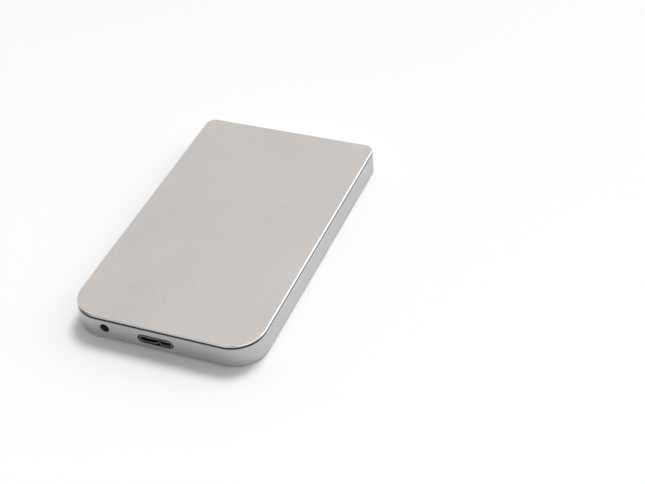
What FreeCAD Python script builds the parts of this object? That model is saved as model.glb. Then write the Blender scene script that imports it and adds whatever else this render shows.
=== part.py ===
import FreeCAD, Part
import math
import os

# A slim portable hard drive: an aluminium case with a bridge board and a 2.5-inch disc drive inside.
# X runs across the case, Y from the port end to the rear end, Z up from the plane of the feet.
# Driving dimensions in millimetres and degrees.

# Case
WALL = 1.2
FLOOR = 0.9
LID_THICKNESS = 0.6
LID_BEVEL = 0.4
GROOVE_HEIGHT = 0.95
GROOVE_DEPTH = 0.7
FRONT_RADIUS = 12.2
REAR_RADIUS = 4.0
BOTTOM_BEVEL = 0.4
TRAY_EDGE = 0.15
SKIRT_THICKNESS = 0.8
SKIRT_DEPTH = 1.75
SKIRT_FIT = 0.1
BEAD_LENGTH = 9.0
BEAD_HEIGHT = 0.5
BEAD_PROUD = 0.35
BEAD_FIT = 0.1
FOOT_RADIUS = 4.0
FOOT_PROUD = 0.5
FOOT_REAR_INSET = 9.0
BOSS_RADIUS = 3.0
BOSS_HEIGHT = 4.0
LID_POST_RADIUS = 2.4
SCREW_RADIUS = 0.9
SCREW_HEAD_RADIUS = 1.8
SCREW_HEAD_HEIGHT = 1.0
SCREW_LENGTH = 5.0
SCREW_FIT = 0.03
SCREW_PASSAGE = 0.2
FASTENER_SIDES = 6

# Soft parts that hold the inner drive
SIDE_BUMPER = 1.375
REAR_BUMPER = 1.05
LOWER_PAD = 0.5
UPPER_PAD = 1.1
PAD_WIDTH = 50.0
PAD_DEPTH = 12.0
BUMPER_LENGTH = 60.0
REAR_BUMPER_LENGTH = 40.0
SOFT_CLEARANCE = 0.3

# Port end
LAMP_X = -21.8
LAMP_ABOVE_BASE = 5.05
LAMP_HOLE_RADIUS = 1.85
LAMP_RECESS = 0.0
LAMP_BEVEL = 0.15
LAMP_FIT = 0.05
LIGHT_PIPE_REACH = 2.2
LAMP_WIDTH = 3.0
LAMP_DEPTH = 2.4
USB_X = -1.2
USB_ABOVE_BASE = 4.25
USB_RECESS = 0.1
USB_DEPTH = 7.0
USB_MOUTH_DEPTH = 4.6
USB_CAVITY_WIDTH = 12.3
USB_CAVITY_HEIGHT = 1.95
USB_WIDE_SIDE = 6.9
USB_NOTCH_WIDTH = 1.2
USB_NOTCH_HEIGHT = 0.9
USB_CHAMFER = 0.7
SHELL_THICKNESS = 0.3
SLOT_SIDE_ROOM = 0.75
SLOT_TOP_ROOM = 0.7
TONGUE_THICKNESS = 0.6
TONGUE_RAISE = 0.1
TONGUE_SETBACK = 0.5
TONGUE_SIDE_ROOM = 0.6
CONTACT_COUNT = 5
CONTACT_PITCH = 0.6
CONTACT_WIDTH = 0.3
CONTACT_THICKNESS = 0.1

# Bridge board
BOARD_DEPTH = 17.4
BOARD_FRONT_GAP = 1.2
BOARD_DRIVE_GAP = 1.15
BOARD_THICKNESS = 0.8
BOARD_BOSS_GAP = 0.5
STANDOFF_RADIUS = 2.2
STANDOFF_INSET = 4.0
STANDOFF_FROM_REAR = 7.6
SMALL_SCREW_RADIUS = 0.7
SMALL_HEAD_RADIUS = 1.5
SMALL_HEAD_HEIGHT = 0.5
SMALL_SCREW_BITE = 0.9
BRIDGE_CHIP_SIZE = 8.0
BRIDGE_CHIP_HEIGHT = 0.9
INDUCTOR_SIZE = 4.0
INDUCTOR_HEIGHT = 1.6
CRYSTAL_LENGTH = 3.2
CRYSTAL_WIDTH = 2.5
CRYSTAL_HEIGHT = 0.8
CAPACITOR_LENGTH = 1.6
CAPACITOR_WIDTH = 0.8
CAPACITOR_COUNT = 4
CAPACITOR_PITCH = 2.0
PART_SPACING = 2.5

# Serial connector between the bridge board and the inner drive
SATA_X = -7.5
SATA_HALF_WIDTH = 19.0
SATA_OVERLAP = 3.0
CONNECTOR_DEPTH = 5.2
PLUG_BACK = 1.2
PLUG_TONGUE_LENGTH = 3.4
PLUG_TONGUE_THICKNESS = 1.2
POWER_TONGUE = 20.6
SIGNAL_TONGUE = 10.4
TONGUE_GAP = 2.4
KEY_WIDTH = 0.9
KEY_HEIGHT = 0.9
SOCKET_HALF_HEIGHT = 1.8
MATING_GAP = 0.3
TONGUE_FIT = 0.1
NOTCH_CLEARANCE = 0.5

# Disc stack and spindle motor
PLATTER_RADIUS = 32.5
PLATTER_BORE_RADIUS = 10.0
PLATTER_THICKNESS = 0.65
PLATTER_CLEARANCE = 0.85
STACK_RING = 1.6
HUB_FIT = 0.02
HUB_WALL = 1.4
HUB_TOP = 0.8
HUB_FLOOR_GAP = 0.3
CLAMP_THICKNESS = 0.5
CLAMP_RELIEF = 0.1
CLAMP_SCREW_RADIUS = 0.9
CLAMP_HEAD_RADIUS = 2.4
CLAMP_HEAD_HEIGHT = 0.5
CLAMP_SCREW_LENGTH = 2.0
SHAFT_RADIUS = 1.5
SHAFT_FIT = 0.03
SLEEVE_WALL = 1.4
SLEEVE_CAP = 0.3
SLEEVE_RAISE = 0.2
SHAFT_END_GAP = 0.1
SLEEVE_TOP_GAP = 0.2
MAGNET_RING_WALL = 1.0
MAGNET_RING_HEIGHT = 2.0
AIR_GAP = 0.3
STATOR_TEETH = 9
STATOR_YOKE = 1.0
STATOR_TOOTH_WIDTH = 1.0
STATOR_HEIGHT = 0.9
COIL_BUILD = 0.4
COIL_SETBACK = 0.5
STATOR_ABOVE_FLOOR = 1.0

# Actuator
PIVOT_OFFSET = 11.0
PIVOT_CLEARANCE = 1.5
BLOCK_RADIUS = 6.0
BLOCK_ROOM = 1.0
PIVOT_POST_RADIUS = 1.5
PIVOT_SLEEVE_RADIUS = 4.0
PIVOT_FIT = 0.03
HEAD_REACH = 34.5
INNER_TRACK = 13.5
PARK_CLEARANCE = 1.8
ARM_THICKNESS = 0.45
MIDDLE_ARM = 0.9
ARM_FLOOR_GAP = 0.3
ARM_COVER_GAP = 0.7
ARM_ROOT_HALF = 4.6
ARM_TIP_HALF = 2.0
ARM_REACH = 25.0
ARM_WINDOW_HALF = 1.5
ARM_ROOM = 1.0
SUSPENSION_THICKNESS = 0.12
SUSPENSION_LAP = 4.0
SUSPENSION_TIP_HALF = 0.9
SLIDER_LENGTH = 0.8
SLIDER_WIDTH = 0.7
SLIDER_THICKNESS = 0.15
FLYING_GAP = 0.08
TAB_LENGTH = 1.2
TAB_HALF = 0.35
RAMP_GAP = 0.1
RAMP_BACK = 2.0
RAMP_LEAD_DEG = 1.2
RAMP_TAIL_DEG = 6.0
RAMP_SLOT_ROOM = 0.06
RAMP_HEAD_ROOM = 0.4

# Voice coil motor
COIL_INNER_RADIUS = 8.5
COIL_OUTER_RADIUS = 18.0
COIL_HALF_DEG = 24.0
COIL_BAND = 2.2
COIL_BAND_DEG = 13.0
COIL_BOND_DEG = 0.2
FORK_RAIL_DEG = 7.0
COIL_THICKNESS = 1.2
COIL_GAP = 0.3
MAGNET_THICKNESS = 0.9
MAGNET_INSET = 1.0
YOKE_THICKNESS = 0.6
YOKE_INNER_RADIUS = 7.5
YOKE_RADIUS = 20.0
YOKE_TAB_DEPTH = 2.6
YOKE_TAB_DEG = 8.0
YOKE_TAB_GAP_DEG = 3.0
YOKE_ROOM = 0.6
POCKET_END_DEG = 3.0

# Flexible circuit
FLEX_DEG = 232.0
FLEX_HALF_DEG = 10.0
FLEX_POCKET_DEG = 6.0
FLEX_LOOP = 3.4
FLEX_THICKNESS = 0.12
FLEX_HEIGHT = 2.6
FLEX_GAP = 0.15
FLEX_BRACKET = 2.4

# Castings and board of the inner drive
BASE_WALL = 1.575
BASE_FLOOR = 1.0
BASE_CORNER = 3.0
CHAMBER_WALL = 1.0
COVER_THICKNESS = 0.5
COVER_INSET = 0.15
GASKET_THICKNESS = 0.3
GASKET_INSET = 0.3
GASKET_WIDTH = 0.9
COVER_SCREW_RADIUS = 0.7
COVER_HEAD_RADIUS = 1.3
COVER_SCREW_LENGTH = 2.4
COVER_SCREW_INSET = 2.8
COVER_SCREW_MIDDLE = 23.0
MOUNT_HOLE_RADIUS = 1.25
MOUNT_HOLE_DEPTH = 2.8
MOUNT_HOLE_HEIGHT = 3.0
MOUNT_HOLE_FRONT = 14.0
MOUNT_HOLE_REAR = 90.6
DRIVE_BOARD_THICKNESS = 0.8
DRIVE_BOARD_SIDE = 3.4
DRIVE_BOARD_SETBACK = 0.4
DRIVE_BOARD_END = 13.0
DRIVE_BOARD_REAR = 2.6
DRIVE_BOARD_ROOM = 0.3
CHIP_HEIGHT = 0.9
CHIP_ROOM = 0.2
CONTROLLER_SIZE = 9.0
CACHE_LENGTH = 8.0
CACHE_WIDTH = 6.0
MOTOR_CHIP_SIZE = 5.0
CHIP_SPACING = 1.8
ISLAND_HALF = 1.9
ISLAND_INSET = 2.6

# Heights that follow, from the feet up
CASE_BOTTOM = FOOT_PROUD
FLOOR_TOP = CASE_BOTTOM + FLOOR
DRIVE_BOTTOM = FLOOR_TOP + LOWER_PAD
CHAMBER_FLOOR = DRIVE_BOTTOM + BASE_FLOOR
HEAD_ROOM = SUSPENSION_THICKNESS + SLIDER_THICKNESS + FLYING_GAP
LOWER_DISC = CHAMBER_FLOOR + ARM_FLOOR_GAP + ARM_THICKNESS + HEAD_ROOM
DISC_GAP = 2 * HEAD_ROOM + MIDDLE_ARM
UPPER_DISC = LOWER_DISC + PLATTER_THICKNESS + DISC_GAP
STACK_TOP = UPPER_DISC + PLATTER_THICKNESS
COVER_BOTTOM = STACK_TOP + HEAD_ROOM + ARM_THICKNESS + ARM_COVER_GAP
DRIVE_TOP = COVER_BOTTOM + COVER_THICKNESS
RIM_TOP = COVER_BOTTOM - GASKET_THICKNESS
LID_SEAT = DRIVE_TOP + UPPER_PAD
CASE_TOP = LID_SEAT + LID_THICKNESS
GROOVE_BOTTOM = LID_SEAT - GROOVE_HEIGHT
SKIRT_BOTTOM = LID_SEAT - SKIRT_DEPTH
BOSS_TOP = CASE_BOTTOM + BOSS_HEIGHT

# Lengths that follow, front to rear
SPINDLE_TO_REAR = PLATTER_RADIUS + PLATTER_CLEARANCE + BASE_WALL
PIVOT_DISTANCE = PLATTER_RADIUS + PIVOT_CLEARANCE + BLOCK_RADIUS
PIVOT_BACK = math.sqrt(PIVOT_DISTANCE ** 2 - PIVOT_OFFSET ** 2)
DRIVE_WIDTH = 2 * SPINDLE_TO_REAR
DRIVE_LENGTH = SPINDLE_TO_REAR + PIVOT_BACK + YOKE_RADIUS + YOKE_ROOM + CHAMBER_WALL + CONNECTOR_DEPTH
BOARD_BAY = BOARD_FRONT_GAP + BOARD_DEPTH + BOARD_DRIVE_GAP
CASE_WIDTH = DRIVE_WIDTH + 2 * (SIDE_BUMPER + WALL)
CASE_LENGTH = DRIVE_LENGTH + REAR_BUMPER + BOARD_BAY + 2 * WALL
HALF_WIDTH = CASE_WIDTH / 2
INNER_HALF = HALF_WIDTH - WALL
FRONT = -CASE_LENGTH / 2
REAR = CASE_LENGTH / 2
FRONT_INNER = FRONT + WALL
REAR_INNER = REAR - WALL
BOARD_FRONT = FRONT_INNER + BOARD_FRONT_GAP
BOARD_REAR = BOARD_FRONT + BOARD_DEPTH
DRIVE_FRONT = FRONT_INNER + BOARD_BAY
DRIVE_REAR = DRIVE_FRONT + DRIVE_LENGTH
DRIVE_HALF = DRIVE_WIDTH / 2
DRIVE_MIDDLE = (DRIVE_FRONT + DRIVE_REAR) / 2

# Screw bosses stand in the round front corners
CORNER_ROOM = FRONT_RADIUS - WALL - SKIRT_FIT - SKIRT_THICKNESS - SOFT_CLEARANCE - BOSS_RADIUS
BOSS_X = HALF_WIDTH - FRONT_RADIUS + CORNER_ROOM * math.sqrt(0.5)
BOSS_Y = FRONT + FRONT_RADIUS - CORNER_ROOM * math.sqrt(0.5)
HEAD_SEAT = CASE_BOTTOM + SCREW_PASSAGE + SCREW_HEAD_HEIGHT
FOOT_PLACES = [(side * BOSS_X, y) for side in (-1, 1) for y in (BOSS_Y, REAR - FOOT_REAR_INSET)]

# Port, lamp and bridge board
LAMP_Z = CASE_BOTTOM + LAMP_ABOVE_BASE
USB_Z = CASE_BOTTOM + USB_ABOVE_BASE
USB_HALF_HEIGHT = USB_CAVITY_HEIGHT / 2 + SHELL_THICKNESS
USB_HALF_WIDTH = USB_CAVITY_WIDTH / 2 + SHELL_THICKNESS
USB_MOUTH = FRONT + USB_RECESS
BOARD_TOP = USB_Z - USB_HALF_HEIGHT
BOARD_BOTTOM = BOARD_TOP - BOARD_THICKNESS
BOARD_HALF = BOSS_X - BOSS_RADIUS - BOARD_BOSS_GAP
STANDOFF_Y = BOARD_REAR - STANDOFF_FROM_REAR
STANDOFF_PLACES = [(side * (BOARD_HALF - STANDOFF_INSET), STANDOFF_Y) for side in (-1, 1)]
CHIP_X = USB_X + USB_HALF_WIDTH + PART_SPACING + BRIDGE_CHIP_SIZE / 2
CRYSTAL_X = CHIP_X - BRIDGE_CHIP_SIZE / 2 - PART_SPACING - CRYSTAL_LENGTH / 2
SATA_Z = BOARD_TOP + SOCKET_HALF_HEIGHT
NOTCH_REAR = DRIVE_FRONT + CONNECTOR_DEPTH
PLUG_FACE = NOTCH_REAR - PLUG_BACK
DRIVE_BOARD_TOP = DRIVE_BOTTOM + DRIVE_BOARD_THICKNESS

# Spindle and pivot axes, and the swing of the arms about the pivot
SPINDLE_Y = DRIVE_REAR - SPINDLE_TO_REAR
PIVOT_Y = SPINDLE_Y - PIVOT_BACK
HUB_RADIUS = PLATTER_BORE_RADIUS - HUB_FIT
HUB_BORE = HUB_RADIUS - HUB_WALL
HUB_BOTTOM = CHAMBER_FLOOR + HUB_FLOOR_GAP
HUB_LID = STACK_TOP - CLAMP_RELIEF
FLANGE_RADIUS = PLATTER_BORE_RADIUS + STACK_RING
SLEEVE_RADIUS = SHAFT_RADIUS + SHAFT_FIT + SLEEVE_WALL
SLEEVE_BOTTOM = DRIVE_BOTTOM + SLEEVE_RAISE
STATOR_RADIUS = HUB_BORE - MAGNET_RING_WALL - AIR_GAP
STATOR_BOTTOM = CHAMBER_FLOOR + STATOR_ABOVE_FLOOR
LINE_DEG = math.degrees(math.atan2(SPINDLE_Y - PIVOT_Y, -PIVOT_OFFSET))

# The inner drive's board, under the casting beside the coil motor
BOARD_LEFT = -DRIVE_HALF + DRIVE_BOARD_SIDE
BOARD_RIGHT = PIVOT_OFFSET - DRIVE_BOARD_END
BOARD_START = DRIVE_FRONT + DRIVE_BOARD_SETBACK
BOARD_FINISH = PIVOT_Y - DRIVE_BOARD_REAR
ISLAND_Y = BOARD_FINISH - ISLAND_INSET
ISLAND_PLACES = [(BOARD_LEFT + ISLAND_INSET, ISLAND_Y), (BOARD_RIGHT - ISLAND_INSET, ISLAND_Y)]
CONTROLLER_X = BOARD_LEFT + CHIP_SPACING + CONTROLLER_SIZE / 2
CONTROLLER_Y = NOTCH_REAR + CHIP_SPACING + CONTROLLER_SIZE / 2
CACHE_X = CONTROLLER_X + CONTROLLER_SIZE / 2 + CHIP_SPACING + CACHE_LENGTH / 2
MOTOR_CHIP_X = (BOARD_LEFT + BOARD_RIGHT) / 2
MOTOR_CHIP_Y = CONTROLLER_Y + CONTROLLER_SIZE / 2 + MOTOR_CHIP_SIZE / 2 + CHIP_SPACING / 2


def arm_angle(track_radius):
    """Direction of the arms, from the pivot, when the heads are at this radius of the discs."""
    across = PIVOT_DISTANCE ** 2 + HEAD_REACH ** 2 - track_radius ** 2
    return LINE_DEG + math.degrees(math.acos(across / (2 * PIVOT_DISTANCE * HEAD_REACH)))


PARK_DEG = arm_angle(PLATTER_RADIUS + PARK_CLEARANCE)
INNER_DEG = arm_angle(INNER_TRACK)
FORK_HALF_DEG = COIL_HALF_DEG + FORK_RAIL_DEG
SWEEP_START_DEG = INNER_DEG + 180 - FORK_HALF_DEG
SWEEP_END_DEG = PARK_DEG + 180 + FORK_HALF_DEG
YOKE_START_DEG = SWEEP_START_DEG - YOKE_TAB_GAP_DEG - YOKE_TAB_DEG
YOKE_FINISH_DEG = SWEEP_END_DEG + YOKE_TAB_GAP_DEG + YOKE_TAB_DEG
LOWER_MAGNET = CHAMBER_FLOOR + YOKE_THICKNESS
COIL_BOTTOM = LOWER_MAGNET + MAGNET_THICKNESS + COIL_GAP
COIL_TOP = COIL_BOTTOM + COIL_THICKNESS
UPPER_MAGNET = COIL_TOP + COIL_GAP
UPPER_YOKE = UPPER_MAGNET + MAGNET_THICKNESS
BLOCK_BOTTOM = LOWER_DISC - HEAD_ROOM - ARM_THICKNESS
BLOCK_TOP = STACK_TOP + HEAD_ROOM + ARM_THICKNESS
ARM_LEVELS = [
    (BLOCK_BOTTOM, LOWER_DISC - HEAD_ROOM),
    (LOWER_DISC + PLATTER_THICKNESS + HEAD_ROOM, UPPER_DISC - HEAD_ROOM),
    (STACK_TOP + HEAD_ROOM, BLOCK_TOP),
]
# Each disc face has a suspension lying on its arm and a slider on the disc's side of it: +1 looks up
HEAD_FACES = [
    (LOWER_DISC - HEAD_ROOM, 1),
    (LOWER_DISC + PLATTER_THICKNESS + HEAD_ROOM, -1),
    (UPPER_DISC - HEAD_ROOM, 1),
    (STACK_TOP + HEAD_ROOM, -1),
]
RAMP_INNER = HEAD_REACH + SLIDER_LENGTH / 2 + RAMP_GAP
TAB_TIP = RAMP_INNER + TAB_LENGTH
RAMP_SLOT = TAB_TIP + RAMP_GAP
RAMP_OUTER = RAMP_SLOT + RAMP_BACK


def vec(x, y, z=0.0):
    return FreeCAD.Vector(x, y, z)


def box(x0, x1, y0, y1, z0, z1):
    return Part.makeBox(x1 - x0, y1 - y0, z1 - z0, vec(x0, y0, z0))


def post(x, y, z0, z1, radius):
    return Part.makeCylinder(radius, z1 - z0, vec(x, y, z0))


def ring(x, y, z0, z1, inner, outer):
    return post(x, y, z0, z1, outer).cut(post(x, y, z0, z1, inner))


def prism(face, z0, z1):
    """A face drawn at height zero, raised from z0 to z1."""
    lifted = face.copy()
    lifted.translate(vec(0, 0, z0))
    return lifted.extrude(vec(0, 0, z1 - z0))


def disc_face(x, y, radius):
    return Part.Face(Part.Wire(Part.makeCircle(radius, vec(x, y))))


def polygon_face(points):
    return Part.Face(Part.makePolygon(points + points[:1]))


def polar(x, y, radius, degrees):
    angle = math.radians(degrees)
    return vec(x + radius * math.cos(angle), y + radius * math.sin(angle))


def arc(x, y, radius, start, end):
    places = [polar(x, y, radius, degrees) for degrees in (start, (start + end) / 2, end)]
    return Part.Arc(*places).toShape()


def stud_face(x, y, radius):
    step = 360 / FASTENER_SIDES
    return polygon_face([polar(x, y, radius, step * number) for number in range(FASTENER_SIDES)])


def stud(x, y, z0, z1, radius):
    """A small screw's shank or head, its hole or its boss, as a bar with flat sides."""
    return prism(stud_face(x, y, radius), z0, z1)


def rounded_face(x0, x1, y0, y1, front_radius, rear_radius):
    """A rectangle with one radius at its two front corners and another at its two rear corners."""
    corners = [
        (x0 + front_radius, y0 + front_radius, front_radius, 180),
        (x1 - front_radius, y0 + front_radius, front_radius, 270),
        (x1 - rear_radius, y1 - rear_radius, rear_radius, 0),
        (x0 + rear_radius, y1 - rear_radius, rear_radius, 90),
    ]
    edges = []
    for here, following in zip(corners, corners[1:] + corners[:1]):
        x, y, radius, start = here
        next_x, next_y, next_radius, next_start = following
        edges.append(arc(x, y, radius, start, start + 90))
        edges.append(Part.makeLine(polar(x, y, radius, start + 90),
                                   polar(next_x, next_y, next_radius, next_start)))
    return Part.Face(Part.Wire(edges))


def case_face(inset):
    """The case seen from above, drawn in by the inset on all sides."""
    half = HALF_WIDTH - inset
    return rounded_face(-half, half, FRONT + inset, REAR - inset, FRONT_RADIUS - inset, REAR_RADIUS - inset)


def drive_face(inset):
    """The inner drive seen from above, drawn in by the inset on all sides."""
    half = DRIVE_HALF - inset
    radius = BASE_CORNER - inset
    return rounded_face(-half, half, DRIVE_FRONT + inset, DRIVE_REAR - inset, radius, radius)


def sector_face(inner, outer, start, end):
    """Part of a flat ring about the actuator's pivot, between two directions."""
    x, y = PIVOT_OFFSET, PIVOT_Y
    return Part.Face(Part.Wire([
        arc(x, y, outer, start, end),
        Part.makeLine(polar(x, y, outer, end), polar(x, y, inner, end)),
        arc(x, y, inner, end, start),
        Part.makeLine(polar(x, y, inner, start), polar(x, y, outer, start)),
    ]))


def sector(inner, outer, start, end, z0, z1):
    return prism(sector_face(inner, outer, start, end), z0, z1)


def arm_point(forward, sideways):
    """A place given along and across the parked arms, from the pivot."""
    angle = math.radians(PARK_DEG)
    x = PIVOT_OFFSET + forward * math.cos(angle) - sideways * math.sin(angle)
    y = PIVOT_Y + forward * math.sin(angle) + sideways * math.cos(angle)
    return vec(x, y)


def arm_face(stations):
    """A shape that is alike on both sides of the arms' middle line, from its half widths."""
    right = [arm_point(forward, -half) for forward, half in stations]
    left = [arm_point(forward, half) for forward, half in reversed(stations)]
    return polygon_face(right + left)


def edges_at(shape, height):
    """The edges that lie in one level plane."""
    def level(edge):
        return all(abs(vertex.Z - height) < 1e-6 for vertex in edge.Vertexes)
    return [edge for edge in shape.Edges if level(edge)]


def bead_places():
    """Middle, half length along X and half length along Y of each snap bead on the lid's skirt."""
    side_x = INNER_HALF - SKIRT_FIT
    places = []
    for side in (-1, 1):
        for y in (DRIVE_MIDDLE - BUMPER_LENGTH / 2, DRIVE_MIDDLE + BUMPER_LENGTH / 2):
            places.append((side * side_x, y, BEAD_PROUD, BEAD_LENGTH / 2))
    for side in (-1, 1):
        places.append((side * REAR_BUMPER_LENGTH / 2, REAR_INNER - SKIRT_FIT, BEAD_LENGTH / 2, BEAD_PROUD))
    return places


def beads(growth):
    top = SKIRT_BOTTOM + BEAD_HEIGHT
    return [box(x - along_x - growth, x + along_x + growth, y - along_y - growth, y + along_y + growth,
                SKIRT_BOTTOM - growth, top + growth)
            for x, y, along_x, along_y in bead_places()]


def obround(x, z, half_width, half_height, y0, y1):
    """A slot with round ends that looks along Y."""
    straight = half_width - half_height
    slot = box(x - straight, x + straight, y0, y1, z - half_height, z + half_height)
    for side in (-1, 1):
        slot = slot.fuse(lamp_rod(x + side * straight, z, half_height, y0, y1))
    return slot.removeSplitter()


def lamp_rod(x, z, radius, y0, y1):
    """A round bar that lies along Y."""
    return Part.makeCylinder(radius, y1 - y0, vec(x, y0, z), vec(0, 1, 0))


def bottom_tray():
    body = prism(case_face(0), CASE_BOTTOM, GROOVE_BOTTOM)
    body = body.makeChamfer(BOTTOM_BEVEL, edges_at(body, CASE_BOTTOM))
    body = body.makeChamfer(TRAY_EDGE, edges_at(body, GROOVE_BOTTOM))
    tray = body.fuse(prism(case_face(GROOVE_DEPTH), GROOVE_BOTTOM, LID_SEAT))
    tray = tray.cut(prism(case_face(WALL), FLOOR_TOP, LID_SEAT))
    for side in (-1, 1):
        tray = tray.fuse(stud(side * BOSS_X, BOSS_Y, FLOOR_TOP, BOSS_TOP, BOSS_RADIUS))
    for x, y in STANDOFF_PLACES:
        tray = tray.fuse(stud(x, y, FLOOR_TOP, BOARD_BOTTOM, STANDOFF_RADIUS))
        tray = tray.cut(stud(x, y, BOARD_BOTTOM - SMALL_SCREW_BITE, BOARD_BOTTOM,
                             SMALL_SCREW_RADIUS + SCREW_FIT))
    for side in (-1, 1):
        x = side * BOSS_X
        tray = tray.cut(stud(x, BOSS_Y, CASE_BOTTOM, HEAD_SEAT, SCREW_HEAD_RADIUS + SCREW_PASSAGE))
        tray = tray.cut(stud(x, BOSS_Y, CASE_BOTTOM, BOSS_TOP, SCREW_RADIUS + SCREW_PASSAGE))
    tray = tray.cut(lamp_rod(LAMP_X, LAMP_Z, LAMP_HOLE_RADIUS, FRONT, FRONT_INNER))
    tray = tray.cut(obround(USB_X, USB_Z, USB_HALF_WIDTH + SLOT_SIDE_ROOM, USB_HALF_HEIGHT + SLOT_TOP_ROOM,
                            FRONT, FRONT_INNER))
    return tray.cut(Part.makeCompound(beads(BEAD_FIT))).removeSplitter()


def top_cover():
    plate = prism(case_face(0), LID_SEAT, CASE_TOP)
    plate = plate.makeChamfer(LID_BEVEL, edges_at(plate, CASE_TOP))
    outer = WALL + SKIRT_FIT
    skirt = prism(case_face(outer), SKIRT_BOTTOM, LID_SEAT)
    skirt = skirt.cut(prism(case_face(outer + SKIRT_THICKNESS), SKIRT_BOTTOM, LID_SEAT))
    hollow = prism(case_face(outer + SKIRT_THICKNESS / 2), SKIRT_BOTTOM, LID_SEAT)
    skirt = skirt.multiFuse([bead.cut(hollow) for bead in beads(0)])
    lid = plate.fuse(skirt)
    for side in (-1, 1):
        lid = lid.fuse(stud(side * BOSS_X, BOSS_Y, BOSS_TOP, LID_SEAT, LID_POST_RADIUS))
        lid = lid.cut(stud(side * BOSS_X, BOSS_Y, BOSS_TOP, HEAD_SEAT + SCREW_LENGTH + SCREW_PASSAGE,
                           SCREW_RADIUS + SCREW_FIT))
    return lid.removeSplitter()


def case_screws():
    screws = []
    for side in (-1, 1):
        x = side * BOSS_X
        head = stud(x, BOSS_Y, HEAD_SEAT - SCREW_HEAD_HEIGHT, HEAD_SEAT, SCREW_HEAD_RADIUS)
        screws.append(head.fuse(stud(x, BOSS_Y, HEAD_SEAT, HEAD_SEAT + SCREW_LENGTH, SCREW_RADIUS)))
    return Part.makeCompound(screws)


def rubber_feet():
    return Part.makeCompound([post(x, y, 0, CASE_BOTTOM, FOOT_RADIUS) for x, y in FOOT_PLACES])


def side_bumpers():
    y0 = DRIVE_MIDDLE - BUMPER_LENGTH / 2
    y1 = DRIVE_MIDDLE + BUMPER_LENGTH / 2
    top = SKIRT_BOTTOM - SOFT_CLEARANCE
    return Part.makeCompound([box(DRIVE_HALF, INNER_HALF, y0, y1, FLOOR_TOP, top),
                              box(-INNER_HALF, -DRIVE_HALF, y0, y1, FLOOR_TOP, top)])


def rear_bumper():
    half = REAR_BUMPER_LENGTH / 2
    return box(-half, half, DRIVE_REAR, REAR_INNER, FLOOR_TOP, SKIRT_BOTTOM - SOFT_CLEARANCE)


def pads(z0, z1):
    """Two strips across the drive, near its front and rear ends."""
    strips = []
    for y in (DRIVE_MIDDLE - BUMPER_LENGTH / 2, DRIVE_MIDDLE + BUMPER_LENGTH / 2):
        strips.append(box(-PAD_WIDTH / 2, PAD_WIDTH / 2, y - PAD_DEPTH / 2, y + PAD_DEPTH / 2, z0, z1))
    return Part.makeCompound(strips)


def lower_foam_pads():
    return pads(FLOOR_TOP, DRIVE_BOTTOM)


def upper_foam_pads():
    return pads(DRIVE_TOP, LID_SEAT)


def light_pipe():
    radius = LAMP_HOLE_RADIUS - LAMP_FIT
    front = FRONT + LAMP_RECESS
    rod = lamp_rod(LAMP_X, LAMP_Z, radius, front, FRONT_INNER + LIGHT_PIPE_REACH)
    nose = [edge for edge in rod.Edges if abs(edge.CenterOfMass.y - front) < 1e-6]
    return rod.makeChamfer(LAMP_BEVEL, nose)


def status_lamp():
    y = FRONT_INNER + LIGHT_PIPE_REACH
    return box(LAMP_X - LAMP_WIDTH / 2, LAMP_X + LAMP_WIDTH / 2, y, y + LAMP_DEPTH,
               BOARD_TOP, LAMP_Z + LAMP_WIDTH / 2)


def usb_cavity_face():
    """The socket's opening: a wide side, a notch and a narrow side under one flat top."""
    half = USB_CAVITY_WIDTH / 2
    top = USB_CAVITY_HEIGHT / 2
    bottom = -top
    notch_left = USB_WIDE_SIDE - half
    notch_right = notch_left + USB_NOTCH_WIDTH
    outline = [
        (-half, top),
        (half, top),
        (half, bottom),
        (notch_right, bottom),
        (notch_right, bottom + USB_NOTCH_HEIGHT),
        (notch_left, bottom + USB_NOTCH_HEIGHT),
        (notch_left, bottom + USB_CHAMFER),
        (notch_left - USB_CHAMFER, bottom),
        (-half + USB_CHAMFER, bottom),
        (-half, bottom + USB_CHAMFER),
    ]
    return polygon_face([vec(USB_X + x, USB_MOUTH, USB_Z + z) for x, z in outline])


def usb_shell():
    cavity = usb_cavity_face()
    outside = cavity.makeOffset2D(SHELL_THICKNESS)
    along = vec(0, USB_DEPTH, 0)
    return outside.extrude(along).cut(cavity.extrude(along))


def tongue_spans():
    """Left and right limits of the two tongues in the socket."""
    half = USB_CAVITY_WIDTH / 2
    notch_left = USB_WIDE_SIDE - half
    notch_right = notch_left + USB_NOTCH_WIDTH
    slope = USB_CHAMFER + TONGUE_SIDE_ROOM
    return [(USB_X - half + slope, USB_X + notch_left - slope),
            (USB_X + notch_right + TONGUE_SIDE_ROOM, USB_X + half - TONGUE_SIDE_ROOM)]


def usb_tongue():
    back = usb_cavity_face()
    back.translate(vec(0, USB_MOUTH_DEPTH, 0))
    piece = back.extrude(vec(0, USB_DEPTH - USB_MOUTH_DEPTH, 0))
    for left, right in tongue_spans():
        piece = piece.fuse(box(left, right, USB_MOUTH + TONGUE_SETBACK, USB_MOUTH + USB_MOUTH_DEPTH,
                               USB_Z + TONGUE_RAISE, USB_Z + TONGUE_RAISE + TONGUE_THICKNESS))
    return piece.removeSplitter()


def usb_contacts():
    strips = []
    top = USB_Z + TONGUE_RAISE
    for left, right in tongue_spans():
        first = (left + right) / 2 - CONTACT_PITCH * (CONTACT_COUNT - 1) / 2
        for number in range(CONTACT_COUNT):
            x = first + number * CONTACT_PITCH
            strips.append(box(x - CONTACT_WIDTH / 2, x + CONTACT_WIDTH / 2,
                              USB_MOUTH + 2 * TONGUE_SETBACK, USB_MOUTH + USB_MOUTH_DEPTH,
                              top - CONTACT_THICKNESS, top))
    return Part.makeCompound(strips)


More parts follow.
